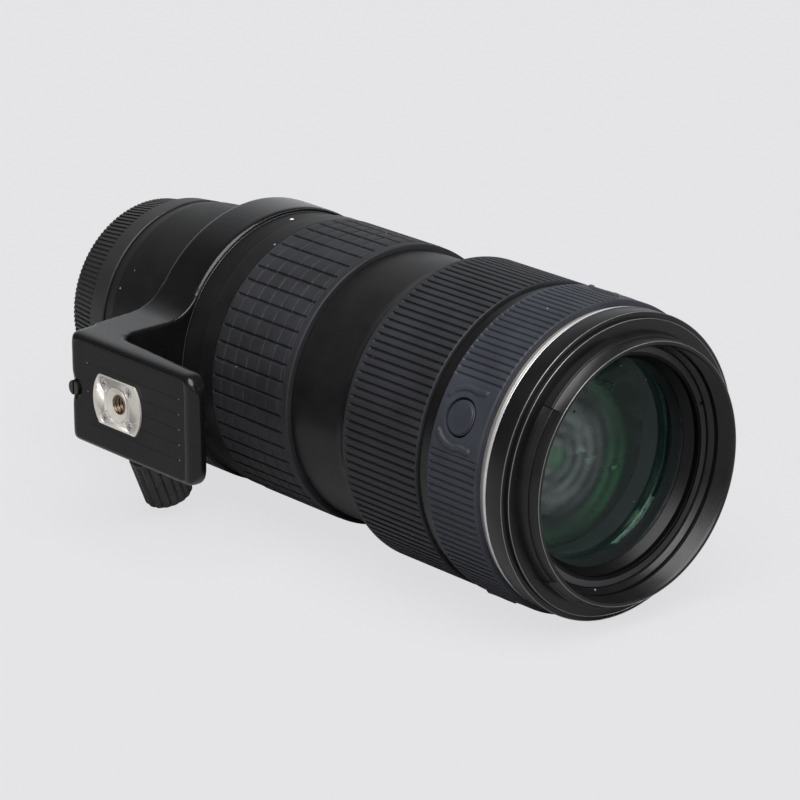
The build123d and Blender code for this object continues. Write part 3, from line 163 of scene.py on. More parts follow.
# Foot, socket and clamp
FOOT_X = 77.3
FOOT_BACK_X = -66.0
SOCKET_FORWARD = 62.0
SOCKET_R = 3.175
SOCKET_PITCH = 1.27
PLATE_X = -77.7
SINK_R = 5.15
SEAM_R = 5.5
PLATE_SCREWS = (6.2, 5.5)
PLATE_SCREW_R = 1.72
PAD_FACE_X = -77.05
PAD_GROOVE_STEP = 4.85
PAD_GROOVE_HALF = 0.1
PAD_GROOVE_ENDS = (47.0, 92.0)
PAD_GROOVE_DEEP = 0.06
PIP_R = 0.2
PIP_FORWARD = 92.4
REAR_PIPS = [(46.6, 9.7), (46.6, 0.4)]
CASTING_VOXEL = 0.45
CASTING_SOFTEN = 8
FOOT_SOFTEN = 70
CASTING_KEEP = 0.3
CLAMP_END = (-43.1, -42.5, -43.3)
CLAMP_TILT = 20.0
KNOB_L = 17.5
KNOB_R = 8.5
KNOB_END_R = 7.9
KNOB_FLUTES = 16
KNOB_FLUTE = 0.75
KNOB_END_ROUND = 1.6
KNOB_TOP_ROUND = 0.5

# Turned edges with a painted highlight, drawn as bright metal where the paint has worn through: name, body,
# slot, forward place and radius
EDGE_W = 0.13
EDGES = [("name_band_edge", "barrel", "black_front", 202.58, 46.72),
         ("step_edge", "barrel", "black_front", 203.93, 45.0),
         ("lip_edge", "barrel", "black_front", 211.06, 39.93),
         ("collar_edge", "collar", "black_casting", 51.2, 44.75),
         ("collar_inner_edge", "collar", "black_casting", 51.45, 43.9)]

# Dust on paint and on rubber, and the pale lines of dust between the tiles
SHELL_DUST = (0.42, 0.42, 0.42)
RUBBER_DUST = (0.36, 0.36, 0.36)
LINE_DUST = (0.12, 0.12, 0.125)

# Outputs of the Light Path node: rays to the camera, scattered, mirrored, sharp, and through glass
TO_CAMERA, SCATTERED, MIRRORED, SHARP, THROUGH = 0, 2, 3, 4, 6

# Floor: its tone, the share of it that glows evenly to the camera, and the share of its tone that each kind
# of ray meets: what can fall into shade, what gloss mirrors, what shows through the coated glass, and what
# it throws back on the lens. These are chosen to match the picture and are not physical.
FLOOR_TONE = (0.785, 0.78, 0.8)
FLOOR_GLOW = 0.89
FLOOR_SHARES = [(TO_CAMERA, 0.075), (MIRRORED, 0.48), (THROUGH, 0.08), (SCATTERED, 0.18)]
FLOOR_HALF = 3.0
FLOOR_GAP = 0.2

# Room: its tone, its weak light, and how bright its pale wall behind the lens looks in reflections
ROOM_TONE = (0.96, 0.98, 1.0)
ROOM_LIGHT = 0.07
BACKDROP_WAY = (0.655, 0.756, 0.0)
BACKDROP_EDGE = (0.5, 0.95)
BACKDROP_LIGHT = 0.6

# Light from above: the way in which it shines, its spread in degrees and its strength
CEILING = ((0.3, 0.4, -1.0), 60.0, 4.6)
# Soft boxes: name, place, point aimed at, width and height in metres, and power
SOFT_BOXES = [("left_box", (-1300, -300, 600), (0, -110, 0), (1.6, 1.2), 2.4),
              ("camera_box", (-700, -1500, 500), (0, -200, 0), (0.8, 0.6), 1.4),
              ("front_box", (700, -1100, 260), (0, -200, 0), (0.3, 0.4), 1.0)]

# Index ring
DOT_FORWARD = 56.4
DOT_ANGLE = 94.0
DOT_SEAT_R = 43.86
DOT_RS = (0.72, 0.66)
DOT_L = 0.26

# Print: words, forward place and angle, then radius and size of the letters
DISTANCE_WORDS = [("2", 112.0, -9.0), ("3", 112.0, -3.0), ("5", 112.0, 3.0), ("10", 112.0, 9.0),
                  ("7", 119.0, -8.0), ("10", 119.0, -2.5), ("16", 119.0, 3.5), ("30", 119.0, 9.5)]
DISTANCE_PRINT = (41.4, 2.6)
ZOOM_WORDS = [(words, 63.9, angle) for words, angle in (
    ("50", 34.0), ("70", 20.0), ("100", 4.0), ("135", -12.0), ("150", -24.0), ("200", -38.0))]
ZOOM_PRINT = (BAND_R + 0.01, 2.8)
PRINT_H = 0.012


# Shader maths

class Socket:
    """A value inside a material, so that its maths reads as plain expressions."""

    def __init__(self, paint, socket):
        self.paint = paint
        self.socket = socket

    def math(self, operation, *others):
        values = {i + 1: v for i, v in enumerate(others)}
        return self.paint.node("ShaderNodeMath", {"operation": operation}, {0: self, **values})

    def __add__(self, other):
        return self.math("ADD", other)

    def __mul__(self, other):
        return self.math("MULTIPLY", other)

    def __sub__(self, other):
        return self.math("SUBTRACT", other)

    def __rsub__(self, other):
        return self.paint.node("ShaderNodeMath", {"operation": "SUBTRACT"}, {0: other, 1: self})

    __radd__ = __add__
    __rmul__ = __mul__

    def over(self, edge):
        """1 where the value is above the edge, 0 elsewhere."""
        return self.math("GREATER_THAN", edge)

    def ramp(self, low, high):
        """0 at low, 1 at high, straight between and held outside."""
        return self.paint.node("ShaderNodeMapRange", {"clamp": True}, {"Value": self, 1: low, 2: high})


class Nodes:
    """Nodes of one tree, of a material or of the surroundings."""

    def __init__(self, tree):
        self.tree = tree
        self.tree.nodes.clear()

    def node(self, kind, settings=None, values=None, out=0):
        """Any node: its settings first, then the values or links of its sockets."""
        made = self.tree.nodes.new(kind)
        for key, value in (settings or {}).items():
            setattr(made, key, value)
        for key, value in (values or {}).items():
            self.put(made.inputs[key], value)
        return Socket(self, made.outputs[out])

    def put(self, socket, value):
        if isinstance(value, Socket):
            self.tree.links.new(value.socket, socket)
        elif socket.type == "RGBA" and len(value) == 3:
            socket.default_value = (*value, 1.0)
        else:
            socket.default_value = value

    def ray(self, kind):
        """1 for rays of that kind, 0 for all others."""
        return self.node("ShaderNodeLightPath", out=kind)

    def mix(self, share, first, second):
        return self.node("ShaderNodeMix", {"data_type": "RGBA"}, {0: share, 6: first, 7: second}, out=2)


class Paint(Nodes):
    """A material under construction, with a Principled shader at its end."""

    def __init__(self, name, colour, roughness, metallic=0.0):
        self.material = bpy.data.materials.new(name)
        self.material.use_nodes = True
        super().__init__(self.material.node_tree)
        self.output = self.tree.nodes.new("ShaderNodeOutputMaterial")
        self.shader = self.tree.nodes.new("ShaderNodeBsdfPrincipled")
        self.tree.links.new(self.shader.outputs[0], self.output.inputs[0])
        self.set("Base Color", colour)
        self.set("Roughness", roughness)
        self.set("Metallic", metallic)

    def set(self, name, value):
        self.put(self.shader.inputs[name], value)

    def place(self):
        """Where a point is on its piece, in millimetres."""
        here = self.node("ShaderNodeTexCoord", out=3)
        return self.node("ShaderNodeVectorMath", {"operation": "SCALE"}, {0: here, 3: 1.0 / MM})

    def along(self):
        """Forward place on the lens, in millimetres."""
        return self.node("ShaderNodeSeparateXYZ", None, {0: self.place()}, out=1) * -1.0

    def out_from_axis(self):
        """Distance from the lens's axis, in millimetres."""
        flat = self.node("ShaderNodeVectorMath", {"operation": "MULTIPLY"},
                         {0: self.place(), 1: (1.0, 0.0, 1.0)})
        return self.node("ShaderNodeVectorMath", {"operation": "LENGTH"}, {0: flat}, out=1)

    def noise(self, size, detail=3.0, rough=0.55, where=None):
        """Soft irregular variation, 0 to 1, with spots of about that size in millimetres."""
        return self.node("ShaderNodeTexNoise", None, {
            "Vector": where or self.place(), "Scale": 1.0 / size, "Detail": detail, "Roughness": rough})

    def bump(self, height, depth, strength=1.0, under=None):
        """Fine relief of that depth in millimetres."""
        values = {"Height": height, "Distance": depth * MM, "Strength": strength}
        if under is not None:
            values["Normal"] = under
        return self.node("ShaderNodeBump", None, values)


def tint(colour, factor):
    return tuple(min(1.0, c * factor) for c in colour)


def specks(paint, size, amount):
    """Sparse grains of dust: 1 on a grain, 0 elsewhere."""
    cells = paint.node("ShaderNodeTexVoronoi", {"feature": "F1"}, {
        "Vector": paint.place(), "Scale": 1.0 / size, "Randomness": 1.0})
    chance = paint.node("ShaderNodeTexVoronoi", {"feature": "F1"}, {
        "Vector": paint.place(), "Scale": 1.0 / size, "Randomness": 1.0}, out=1)
    picked = paint.node("ShaderNodeSeparateColor", None, {0: chance}).over(1.0 - amount)
    return (1.0 - cells.ramp(0.05, 0.16)) * picked


def shell_paint(name, colour, roughness, grain=0.25, grain_depth=0.012, dust=0.01, coat=0.0, shine=0.35):
    """Painted metal: fine grain, slow patches of wear in the gloss and a little dust."""
    paint = Paint(name, colour, roughness)
    slow = paint.noise(9.0, 4.0)
    fine = paint.noise(grain, 2.0)
    dusty = specks(paint, 3.1, dust)
    base = paint.mix(slow.ramp(0.3, 0.75), tint(colour, 0.85), tint(colour, 1.25))
    paint.set("Base Color", paint.mix(dusty, base, SHELL_DUST))
    paint.set("Roughness", slow.ramp(0.25, 0.8) * 0.1 + (roughness - 0.05) + fine * 0.04)
    paint.set("Normal", paint.bump(fine + slow * 0.6, grain_depth))
    paint.set("Coat Weight", coat)
    paint.set("Coat Roughness", 0.12)
    paint.set("Specular IOR Level", shine)
    return paint.material


def rubber(name, colour, roughness=0.62, dust=0.02, line_dust=0.0):
    """Moulded rubber: matt, with a pale bloom where hands have worn it and a little dust, which also
    settles in the fine lines across the tiles."""
    paint = Paint(name, colour, roughness)
    slow = paint.noise(14.0, 4.0)
    fine = paint.noise(0.22, 3.0)
    dusty = specks(paint, 2.3, dust)
    base = paint.mix(slow.ramp(0.3, 0.75), tint(colour, 0.82), tint(colour, 1.3))
    if line_dust:
        steps = (paint.along() - TILE_LINES[0]) * (1.0 / TILE_STEP) + 0.5
        aside = (steps.math("FRACT") - 0.5).math("ABSOLUTE") * TILE_STEP
        settled = (1.0 - aside.ramp(0.1, 0.24)) * paint.noise(4.0, 3.0).ramp(0.4, 0.62)
        base = paint.mix(settled * line_dust, base, LINE_DUST)
    paint.set("Base Color", paint.mix(dusty, base, RUBBER_DUST))
    paint.set("Roughness", slow.ramp(0.3, 0.8) * 0.12 + (roughness - 0.06))
    paint.set("Normal", paint.bump(fine, 0.02))
    paint.set("Specular IOR Level", 0.3)
    return paint.material


def plastic(name, colour, roughness=0.4):
    """Moulded plastic with a very fine spark-eroded texture."""
    paint = Paint(name, colour, roughness)
    fine = paint.noise(0.18, 2.0)
    slow = paint.noise(8.0)
    paint.set("Base Color", paint.mix(slow.ramp(0.3, 0.7), tint(colour, 0.88), tint(colour, 1.2)))
    paint.set("Roughness", slow * 0.1 + (roughness - 0.05))
    paint.set("Normal", paint.bump(fine, 0.012))
    return paint.material


def metal(name, colour, roughness, brushed=None, scratch_depth=0.004, bare=1.0):
    """Bare or plated metal. Brushed gives how the scratches run: scales along x, y and z."""
    paint = Paint(name, colour, roughness, bare)
    where = paint.place()
    if brushed:
        where = paint.node("ShaderNodeVectorMath", {"operation": "MULTIPLY"}, {0: where, 1: brushed})
    lines = paint.noise(1.0, 4.0, 0.65, where)
    slow = paint.noise(6.0)
    paint.set("Base Color", paint.mix(slow.ramp(0.35, 0.7), tint(colour, 0.9), tint(colour, 1.05)))
    paint.set("Roughness", lines * 0.16 + (roughness - 0.08))
    paint.set("Normal", paint.bump(lines, scratch_depth))
    return paint.material


def lens_glass(name, colour, coat_colour, dust=0.0, painted_reflections=False):
    """Coated glass: lets light through with a tint and reflects in the coating's colour."""
    paint = Paint(name, colour, 0.0)
    film = paint.noise(9.0, 3.0)
    paint.set("Base Color", paint.mix(film.ramp(0.3, 0.8), colour, tint(colour, 0.94)))
    paint.set("Roughness", specks(paint, 2.4, dust) * 0.5)
    paint.set("Transmission Weight", 1.0)
    paint.set("IOR", 1.5)
    paint.set("Specular Tint", coat_colour)
    # The glass glows with painted reflections: grey rings, a green patch and a crescent
    if painted_reflections:
        paint.set("Emission Color", painted_reflection_glow(paint))
        paint.set("Emission Strength", 1.0)
    sharp = paint.ray(TO_CAMERA).math("MAXIMUM", paint.ray(SHARP))
    clear = paint.node("ShaderNodeBsdfTransparent", None, {0: GLASS_CLEAR})
    glass = Socket(paint, paint.shader.outputs[0])
    paint.put(paint.output.inputs[0], paint.node("ShaderNodeMixShader", None, {0: sharp, 1: clear, 2: glass}))
    return paint.material


def painted_reflection_glow(paint):
    """A faint drawn glow that stands for images of the lit room: grey rings, a green patch and a crescent."""
    across = paint.node("ShaderNodeSeparateXYZ", None, {0: paint.place()}, out=0) - GHOST_PLACE[0]
    up = paint.node("ShaderNodeSeparateXYZ", None, {0: paint.place()}, out=2) - GHOST_PLACE[1]
    away = (across * across + up * up).math("SQRT")
    (close, sharp), (wide, soft) = GHOST_RIPPLES
    ripple = (away * close).math("SINE") * sharp + (away * wide).math("SINE") * soft + 0.5
    grey = ripple * (1.0 - away.ramp(*GHOST_FADE)) * paint.noise(12.0, 2.0).ramp(0.2, 0.6)
    start, top, end = GHOST_CRESCENT
    crescent = away.ramp(start, top) * (1.0 - away.ramp(top, end))
    bright = (up * GHOST_WAY[1] + across * GHOST_WAY[0]).ramp(*GHOST_BRIGHT) * 0.6
    patch = (1.0 - away.ramp(*GHOST_PATCH)) * 0.8
    dark, pale, green = GHOST_TONES
    tone = paint.mix(grey, dark, pale)
    return paint.mix((crescent * (bright + 0.22)).math("MAXIMUM", patch), tone, green)


def cell_black(name, colour, behind):
    """Matt black inside of a lens cell, paler behind a forward place, where the rings catch light."""
    paint = Paint(name, colour, 0.6)
    fine = paint.noise(0.4, 2.0)
    inside = 1.0 - paint.along().ramp(behind - 0.4, behind)
    paint.set("Base Color", paint.mix(inside, colour, tint(colour, 9.0)))
    paint.set("Roughness", fine * 0.1 + 0.35)
    paint.set("Normal", paint.bump(fine, 0.006))
    paint.set("Specular IOR Level", 0.25)
    return paint.material


def grey_ring(name, colour, inner):
    """Satin grey ring whose bore is blackened."""
    paint = Paint(name, colour, 0.42, 0.6)
    fine = paint.noise(0.5, 3.0)
    face = paint.out_from_axis().ramp(inner, inner + 0.15)
    paint.set("Base Color", paint.mix(face, (0.004, 0.004, 0.004), colour))
    paint.set("Roughness", fine * 0.12 + 0.38)
    paint.set("Normal", paint.bump(fine, 0.004))
    return paint.material


def finish(material, *nodes):
    """Gives CAD nodes their material."""
    for name in nodes:
        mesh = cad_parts[name].data
        mesh.materials.clear()
        mesh.materials.append(material)


# Finishes of this lens
SHELL_BLACK = shell_paint("shell_black", (0.009, 0.009, 0.0095), 0.36, shine=0.15)
BARREL_BLACK = shell_paint("barrel_black", (0.009, 0.009, 0.0095), 0.36, shine=0.25)
CASTING_BLACK = shell_paint("casting_black", (0.006, 0.006, 0.0065), 0.26, grain=0.6, grain_depth=0.003,
                            coat=0.55, shine=0.12)
NECK_BLACK = shell_paint("neck_black", (0.007, 0.007, 0.0075), 0.26, dust=0.004)
FRONT_BLACK = shell_paint("front_black", (0.006, 0.006, 0.0065), 0.3, grain_depth=0.003, dust=0.006,
                          shine=0.4)
INNER_BLACK = shell_paint("inner_black", (0.03, 0.03, 0.032), 0.45, dust=0.0)
CELL_BLACK = cell_black("cell_black", (0.004, 0.004, 0.0045), 196.4)
GRIP_RUBBER = rubber("grip_rubber", (0.019, 0.0195, 0.0225), 0.55)
TILE_RUBBER = rubber("tile_rubber", (0.019, 0.0195, 0.0225), 0.55, dust=0.03, line_dust=0.3)
BUTTON_RUBBER = rubber("button_rubber", (0.03, 0.033, 0.042), 0.52)
PAD_RUBBER = rubber("pad_rubber", (0.006, 0.006, 0.0065), 0.5, dust=0.004)
BUTTON_PLASTIC = plastic("button_plastic", (0.028, 0.031, 0.04), 0.4)
CAP_PLASTIC = plastic("cap_plastic", (0.016, 0.016, 0.0165), 0.45)
KNOB_PLASTIC = plastic("knob_plastic", (0.045, 0.045, 0.047), 0.27)
BLACK_PLASTIC = plastic("black_plastic", (0.012, 0.012, 0.012), 0.4)
SILVER = metal("silver", (0.8, 0.8, 0.81), 0.4, (0.4, 6.0, 0.4), bare=0.6)
SATIN_SILVER = metal("satin_silver", (0.42, 0.4, 0.37), 0.5, (0.4, 6.0, 0.4), bare=0.6)
PLATE_STEEL = metal("plate_steel", (0.86, 0.82, 0.75), 0.45, scratch_depth=0.02, bare=0.5)
THREAD_STEEL = metal("thread_steel", (0.22, 0.16, 0.11), 0.3)
# Painted highlights on turned edges, drawn as bright bare metal where paint is worn; darker on the collar
EDGE_WEAR_AND_HIGHLIGHT = metal("edge_wear_and_highlight_metal", (0.3, 0.3, 0.3), 0.3, bare=0.8)
CASTING_EDGE_WEAR_AND_HIGHLIGHT = metal("casting_edge_wear_and_highlight_metal", (0.1, 0.1, 0.1), 0.35, bare=0.6)
SCREW_STEEL = metal("screw_steel", (0.66, 0.66, 0.65), 0.28)
DARK_SCREW = metal("dark_screw", (0.09, 0.085, 0.08), 0.4)
CHROME = metal("mount_chrome", (0.78, 0.78, 0.79), 0.14, (0.5, 4.0, 0.5))
ALLOY = metal("inner_alloy", (0.42, 0.42, 0.44), 0.35, (0.4, 5.0, 0.4))
GREY_RING = grey_ring("grey_ring", (0.09, 0.09, 0.095), 34.6)
GOLD = metal("gold", (0.9, 0.66, 0.3), 0.2)
BOARD = plastic("board_green", (0.01, 0.09, 0.04), 0.35)
FRONT_GLASS = lens_glass("front_glass", (0.86, 0.95, 0.93), (0.12, 0.2, 0.17), 0.02)
INNER_GLASS = lens_glass("inner_glass", (0.85, 0.94, 0.9), (0.05, 0.2, 0.08), painted_reflections=True)
CLEAR_GLASS = lens_glass("clear_glass", (0.85, 0.94, 0.9), (0.05, 0.2, 0.08))
WINDOW = lens_glass("window_clear", (0.9, 0.92, 0.94), (1.0, 1.0, 1.0))
WHITE_PAINT = plastic("white_paint", (0.75, 0.75, 0.74), 0.5)
PIP_GREY = plastic("pip_grey", (0.35, 0.36, 0.37), 0.35)

finish(SHELL_BLACK, "rear_barrel", "inner_barrel")
finish(BARREL_BLACK, "mid_barrel", "zoom_ring", "focus_ring")
finish(NECK_BLACK, "front_barrel")
finish(CASTING_BLACK, "tripod_collar")
finish(FRONT_BLACK, "front_ring")
finish(CELL_BLACK, "front_cell")
finish(INNER_BLACK, "variator_cell", "compensator_cell", "focus_cell", "rear_cell",
       "iris_housing", "iris_ring", *[f"iris_blade_{i}" for i in range(1, 10)])
finish(GRIP_RUBBER, "zoom_grip", "focus_grip")
finish(BUTTON_RUBBER, "button_grip")
finish(PAD_RUBBER, "foot_panel")
finish(BUTTON_PLASTIC, *[f"button_{i}" for i in range(1, 5)])
finish(CAP_PLASTIC, "rear_cap")
finish(KNOB_PLASTIC, "clamp_knob")
finish(BLACK_PLASTIC, "contact_block", "button_switches", "scale_drum")
finish(SILVER, "silver_ring")
finish(PLATE_STEEL, "socket_plate")
finish(SCREW_STEEL, "socket_screws", "mount_screws", "clamp_screw", "guide_rods", "drive_screw", "zoom_keys")
finish(DARK_SCREW, "stop_screw")
finish(CHROME, "mount_bayonet")
finish(ALLOY, "cam_tube", "guide_tube", "focus_motor")
finish(GREY_RING, "retaining_ring")
finish(GOLD, "contact_pins")
finish(BOARD, "circuit_board")
finish(FRONT_GLASS, "front_glass")
finish(INNER_GLASS, "inner_glass")
finish(CLEAR_GLASS, "variator_glass", "compensator_glass", "focus_glass", "rear_glass")
finish(WINDOW, "distance_window")


# Shapes

def show(name, mesh, material, body, slot_name, *nodes):
    """Puts a finished mesh in the scene, on its body, in place of the CAD nodes named."""
    piece = bpy.data.objects.new(name, mesh)
    bpy.context.scene.collection.objects.link(piece)
    mesh.materials.clear()
    mesh.materials.append(material)
    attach(piece, body)
    if nodes:
        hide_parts(*nodes)
    return piece


def smooth(mesh, angle=32):
    """Smooth shading, with the edges sharper than the angle kept crisp."""
    mesh.polygons.foreach_set("use_smooth", [True] * len(mesh.polygons))
    mesh.set_sharp_from_angle(angle=math.radians(angle))
    return mesh


def tidy_mesh(mesh):
    """Joins vertices that meet and turns every face outwards."""
    work = bmesh.new()
    work.from_mesh(mesh)
    bmesh.ops.remove_doubles(work, verts=work.verts, dist=1e-7)
    bmesh.ops.recalc_face_normals(work, faces=work.faces)
    work.to_mesh(mesh)
    work.free()
    return mesh


def skin(name, forward, radius, angle):
    """A closed skin round the lens: tables of forward place, radius and angle in degrees.
    Rows run once round the section and columns once round the lens; both close on themselves."""
    rows, columns = radius.shape
    turn = np.radians(angle)
    points = np.stack([radius * np.cos(turn), -forward, radius * np.sin(turn)], axis=-1) * MM
    index = np.arange(rows * columns).reshape(rows, columns)
    down = np.roll(index, -1, axis=0)
    faces = np.stack([index, down, np.roll(down, -1, axis=1), np.roll(index, -1, axis=1)], axis=-1)
    mesh = bpy.data.meshes.new(name)
    mesh.from_pydata(points.reshape(-1, 3).tolist(), [], faces.reshape(-1, 4).tolist())
    return smooth(tidy_mesh(mesh))


def rounded(points, steps=5):
    """Points (forward, radius) of a closed section; a third number rounds that corner."""
    out = []
    count = len(points)
    for i, point in enumerate(points):
        here = np.array(point[:2], float)
        size = point[2] if len(point) > 2 else 0.0
        if not size:
            out.append(here)
            continue
        back = np.array(points[i - 1][:2], float) - here
        ahead = np.array(points[(i + 1) % count][:2], float) - here
        back /= np.linalg.norm(back)
        ahead /= np.linalg.norm(ahead)
        half = math.acos(float(np.clip(back @ ahead, -1, 1))) / 2
        reach = size / math.tan(half)
        middle = here + (back + ahead) / np.linalg.norm(back + ahead) * size / math.sin(half)
        first, last = here + back * reach - middle, here + ahead * reach - middle
        sweep = math.pi - 2 * half
        for k in range(steps + 1):
            share = k / steps
            weight = (math.sin((1 - share) * sweep), math.sin(share * sweep))
            out.append(middle + (first * weight[0] + last * weight[1]) / math.sin(sweep))
    return np.array(out)


def turned(name, points, columns=256, steps=5):
    """A turned piece: a closed section swept once round the lens."""
    section = rounded(points, steps)
    angles = np.arange(columns) * 360.0 / columns
    forward = np.repeat(section[:, :1], columns, axis=1)
    radius = np.repeat(section[:, 1:], columns, axis=1)
    return skin(name, forward, radius, np.repeat(angles[None], len(section), axis=0))


def groove(distance, width, depth, soft=0.3, drop=0.06):
    """Depth of a groove at a distance from its middle: steep walls, edges rounded by a small drop."""
    aside = np.abs(distance) - width / 2
    share = np.clip(1.0 - (np.abs(distance) / (width / 2)) ** 2, 0.0, 1.0)
    return (depth - drop) * share ** 0.4 + drop * np.clip(1.0 - aside / soft, 0.0, 1.0) ** 2


def rib_columns(count, start, radius, width, flat=2):
    """Angles of the columns that follow evenly spaced grooves closely."""
    pitch = TAU * radius / count
    near = [n * width for n in (-0.5, -0.46, -0.36, 0.0, 0.36, 0.46, 0.5)]
    edges = [s * (width / 2 + o) for s in (-1, 1) for o in (0.1, 0.3)]
    gap = pitch - width - 0.6
    rest = [width / 2 + 0.3 + gap * (k + 1) / (flat + 1) for k in range(flat)]
    offsets = sorted(near + edges + rest)
    return np.sort(np.array([start + 360.0 * i / count + math.degrees(o / radius)
                             for i in range(count) for o in offsets]))


def from_groove(angle, count, start, radius):
    """Distance along the surface from the nearest groove."""
    pitch = 360.0 / count
    apart = (angle - start + pitch / 2) % pitch - pitch / 2
    return np.radians(apart) * radius


def end_round(forward, ends, size):
    """How far a rounded end lies below the surface."""
    near = np.minimum(forward - ends[0], ends[1] - forward)
    inside = np.clip(size - near, 0.0, size)
    return size - np.sqrt(np.maximum(size ** 2 - inside ** 2, 0.0))


def with_bore(forward, radius, bore):
    """Adds the two rows of a plain bore to a table of the outside."""
    ends = np.stack([forward[-1], forward[0]])
    return np.vstack([forward, ends]), np.vstack([radius, np.full_like(ends, bore)])


def zoom_sleeve():
    """Rubber tiles: lengthwise grooves crossed by fine lines, and a plain lip at each end."""
    angles = rib_columns(TILE_ROWS, TILE_START, SLEEVE_R, TILE_GROOVE[0], 4)
    lines = [line + o for line in TILE_LINES for o in (-0.5, -0.3, -0.21, -0.17, 0, 0.17, 0.21, 0.3, 0.5)]
    between = [line + 2.7 for line in TILE_LINES]
    ends = [e + s * o for e, s in ((SLEEVE_ENDS[0], 1), (SLEEVE_ENDS[1], -1))
            for o in (0, 0.06, 0.2, 0.45, 0.8, 1.6)]
    edges = [e + s * o for e, s in ((TILES[0], 1), (TILES[1], -1)) for o in (-0.3, -0.1, 0.0, 0.1, 0.3, 0.9)]
    places = np.array(sorted(set(np.round(lines + between + ends + edges, 3))))
    forward, angle = np.meshgrid(places, angles, indexing="ij")
    inside = np.clip((np.minimum(forward - TILES[0], TILES[1] - forward)) / 0.3, 0.0, 1.0)
    cut = groove(from_groove(angle, TILE_ROWS, TILE_START, SLEEVE_R), *TILE_GROOVE) * inside
    for line in TILE_LINES:
        cut = np.maximum(cut, groove(forward - line, *TILE_LINE))
    radius = SLEEVE_R - 0.12 * (1 - inside) - cut - end_round(forward, SLEEVE_ENDS, 0.5)
    forward, radius = with_bore(forward, radius, SLEEVE_BASE_R)
    mesh = skin("zoom_sleeve", forward, radius, np.vstack([angle, angle[:2]]))
    show("zoom_sleeve", mesh, TILE_RUBBER, "zoom", "grip_rubber", "zoom_grip")


def focus_sleeve():
    """Rubber sleeve with lengthwise ribs almost from edge to edge."""
    angles = rib_columns(FOCUS_RIBS, FOCUS_START, FOCUS_R, FOCUS_GROOVE[0], 2)
    ends = [e + s * o for e, s in ((FOCUS_ENDS[0], 1), (FOCUS_ENDS[1], -1))
            for o in (0, 0.05, 0.15, 0.35, 0.6)]
    rims = [e + s * (r + o) for e, s, r in zip(FOCUS_ENDS, (1, -1), FOCUS_RIMS)
            for o in (0, 0.08, 0.2, 0.35, 0.5, 0.7)]
    places = np.array(sorted(set(np.round(ends + rims + [137.0, 143.0, 150.0, 157.0, 163.0], 3))))
    forward, angle = np.meshgrid(places, angles, indexing="ij")
    reach = np.minimum(forward - FOCUS_ENDS[0] - FOCUS_RIMS[0], FOCUS_ENDS[1] - FOCUS_RIMS[1] - forward)
    inside = np.clip(reach / 0.5, 0.0, 1.0) ** 0.6
    cut = groove(from_groove(angle, FOCUS_RIBS, FOCUS_START, FOCUS_R), *FOCUS_GROOVE) * inside
    radius = FOCUS_R - cut - end_round(forward, FOCUS_ENDS, 0.6)
    forward, radius = with_bore(forward, radius, FOCUS_BASE_R)
    mesh = skin("focus_sleeve", forward, radius, np.vstack([angle, angle[:2]]))
    show("focus_sleeve", mesh, GRIP_RUBBER, "focus", "grip_rubber", "focus_grip")


def guard_height(along, across):
    """Height of the two curved guards at a place measured from a button's middle."""
    height = np.zeros_like(along)
    for side in (1, -1):
        first, last = math.radians(180 - side * 38), math.radians(180 - side * 108)
        angles = np.linspace(first, last, 24)
        line = [(GUARD_ARC_R * math.cos(a), GUARD_ARC_R * math.sin(a)) for a in angles]
        end = line[-1]
        line += [(end[0] + 3.6 * t, end[1] + side * 0.35 * t) for t in np.linspace(0.1, 1.0, 8)]
        nearest = np.full_like(along, 99.0)
        for (x0, y0), (x1, y1) in zip(line, line[1:]):
            dx, dy = x1 - x0, y1 - y0
            t = np.clip(((along - x0) * dx + (across - y0) * dy) / (dx * dx + dy * dy), 0, 1)
            nearest = np.minimum(nearest, np.hypot(along - x0 - t * dx, across - y0 - t * dy))
        share = np.clip(nearest / (GUARD_W / 2), 0.0, 1.0)
        height = np.maximum(height, GUARD_H * np.sqrt(1.0 - share ** 3))
    return height


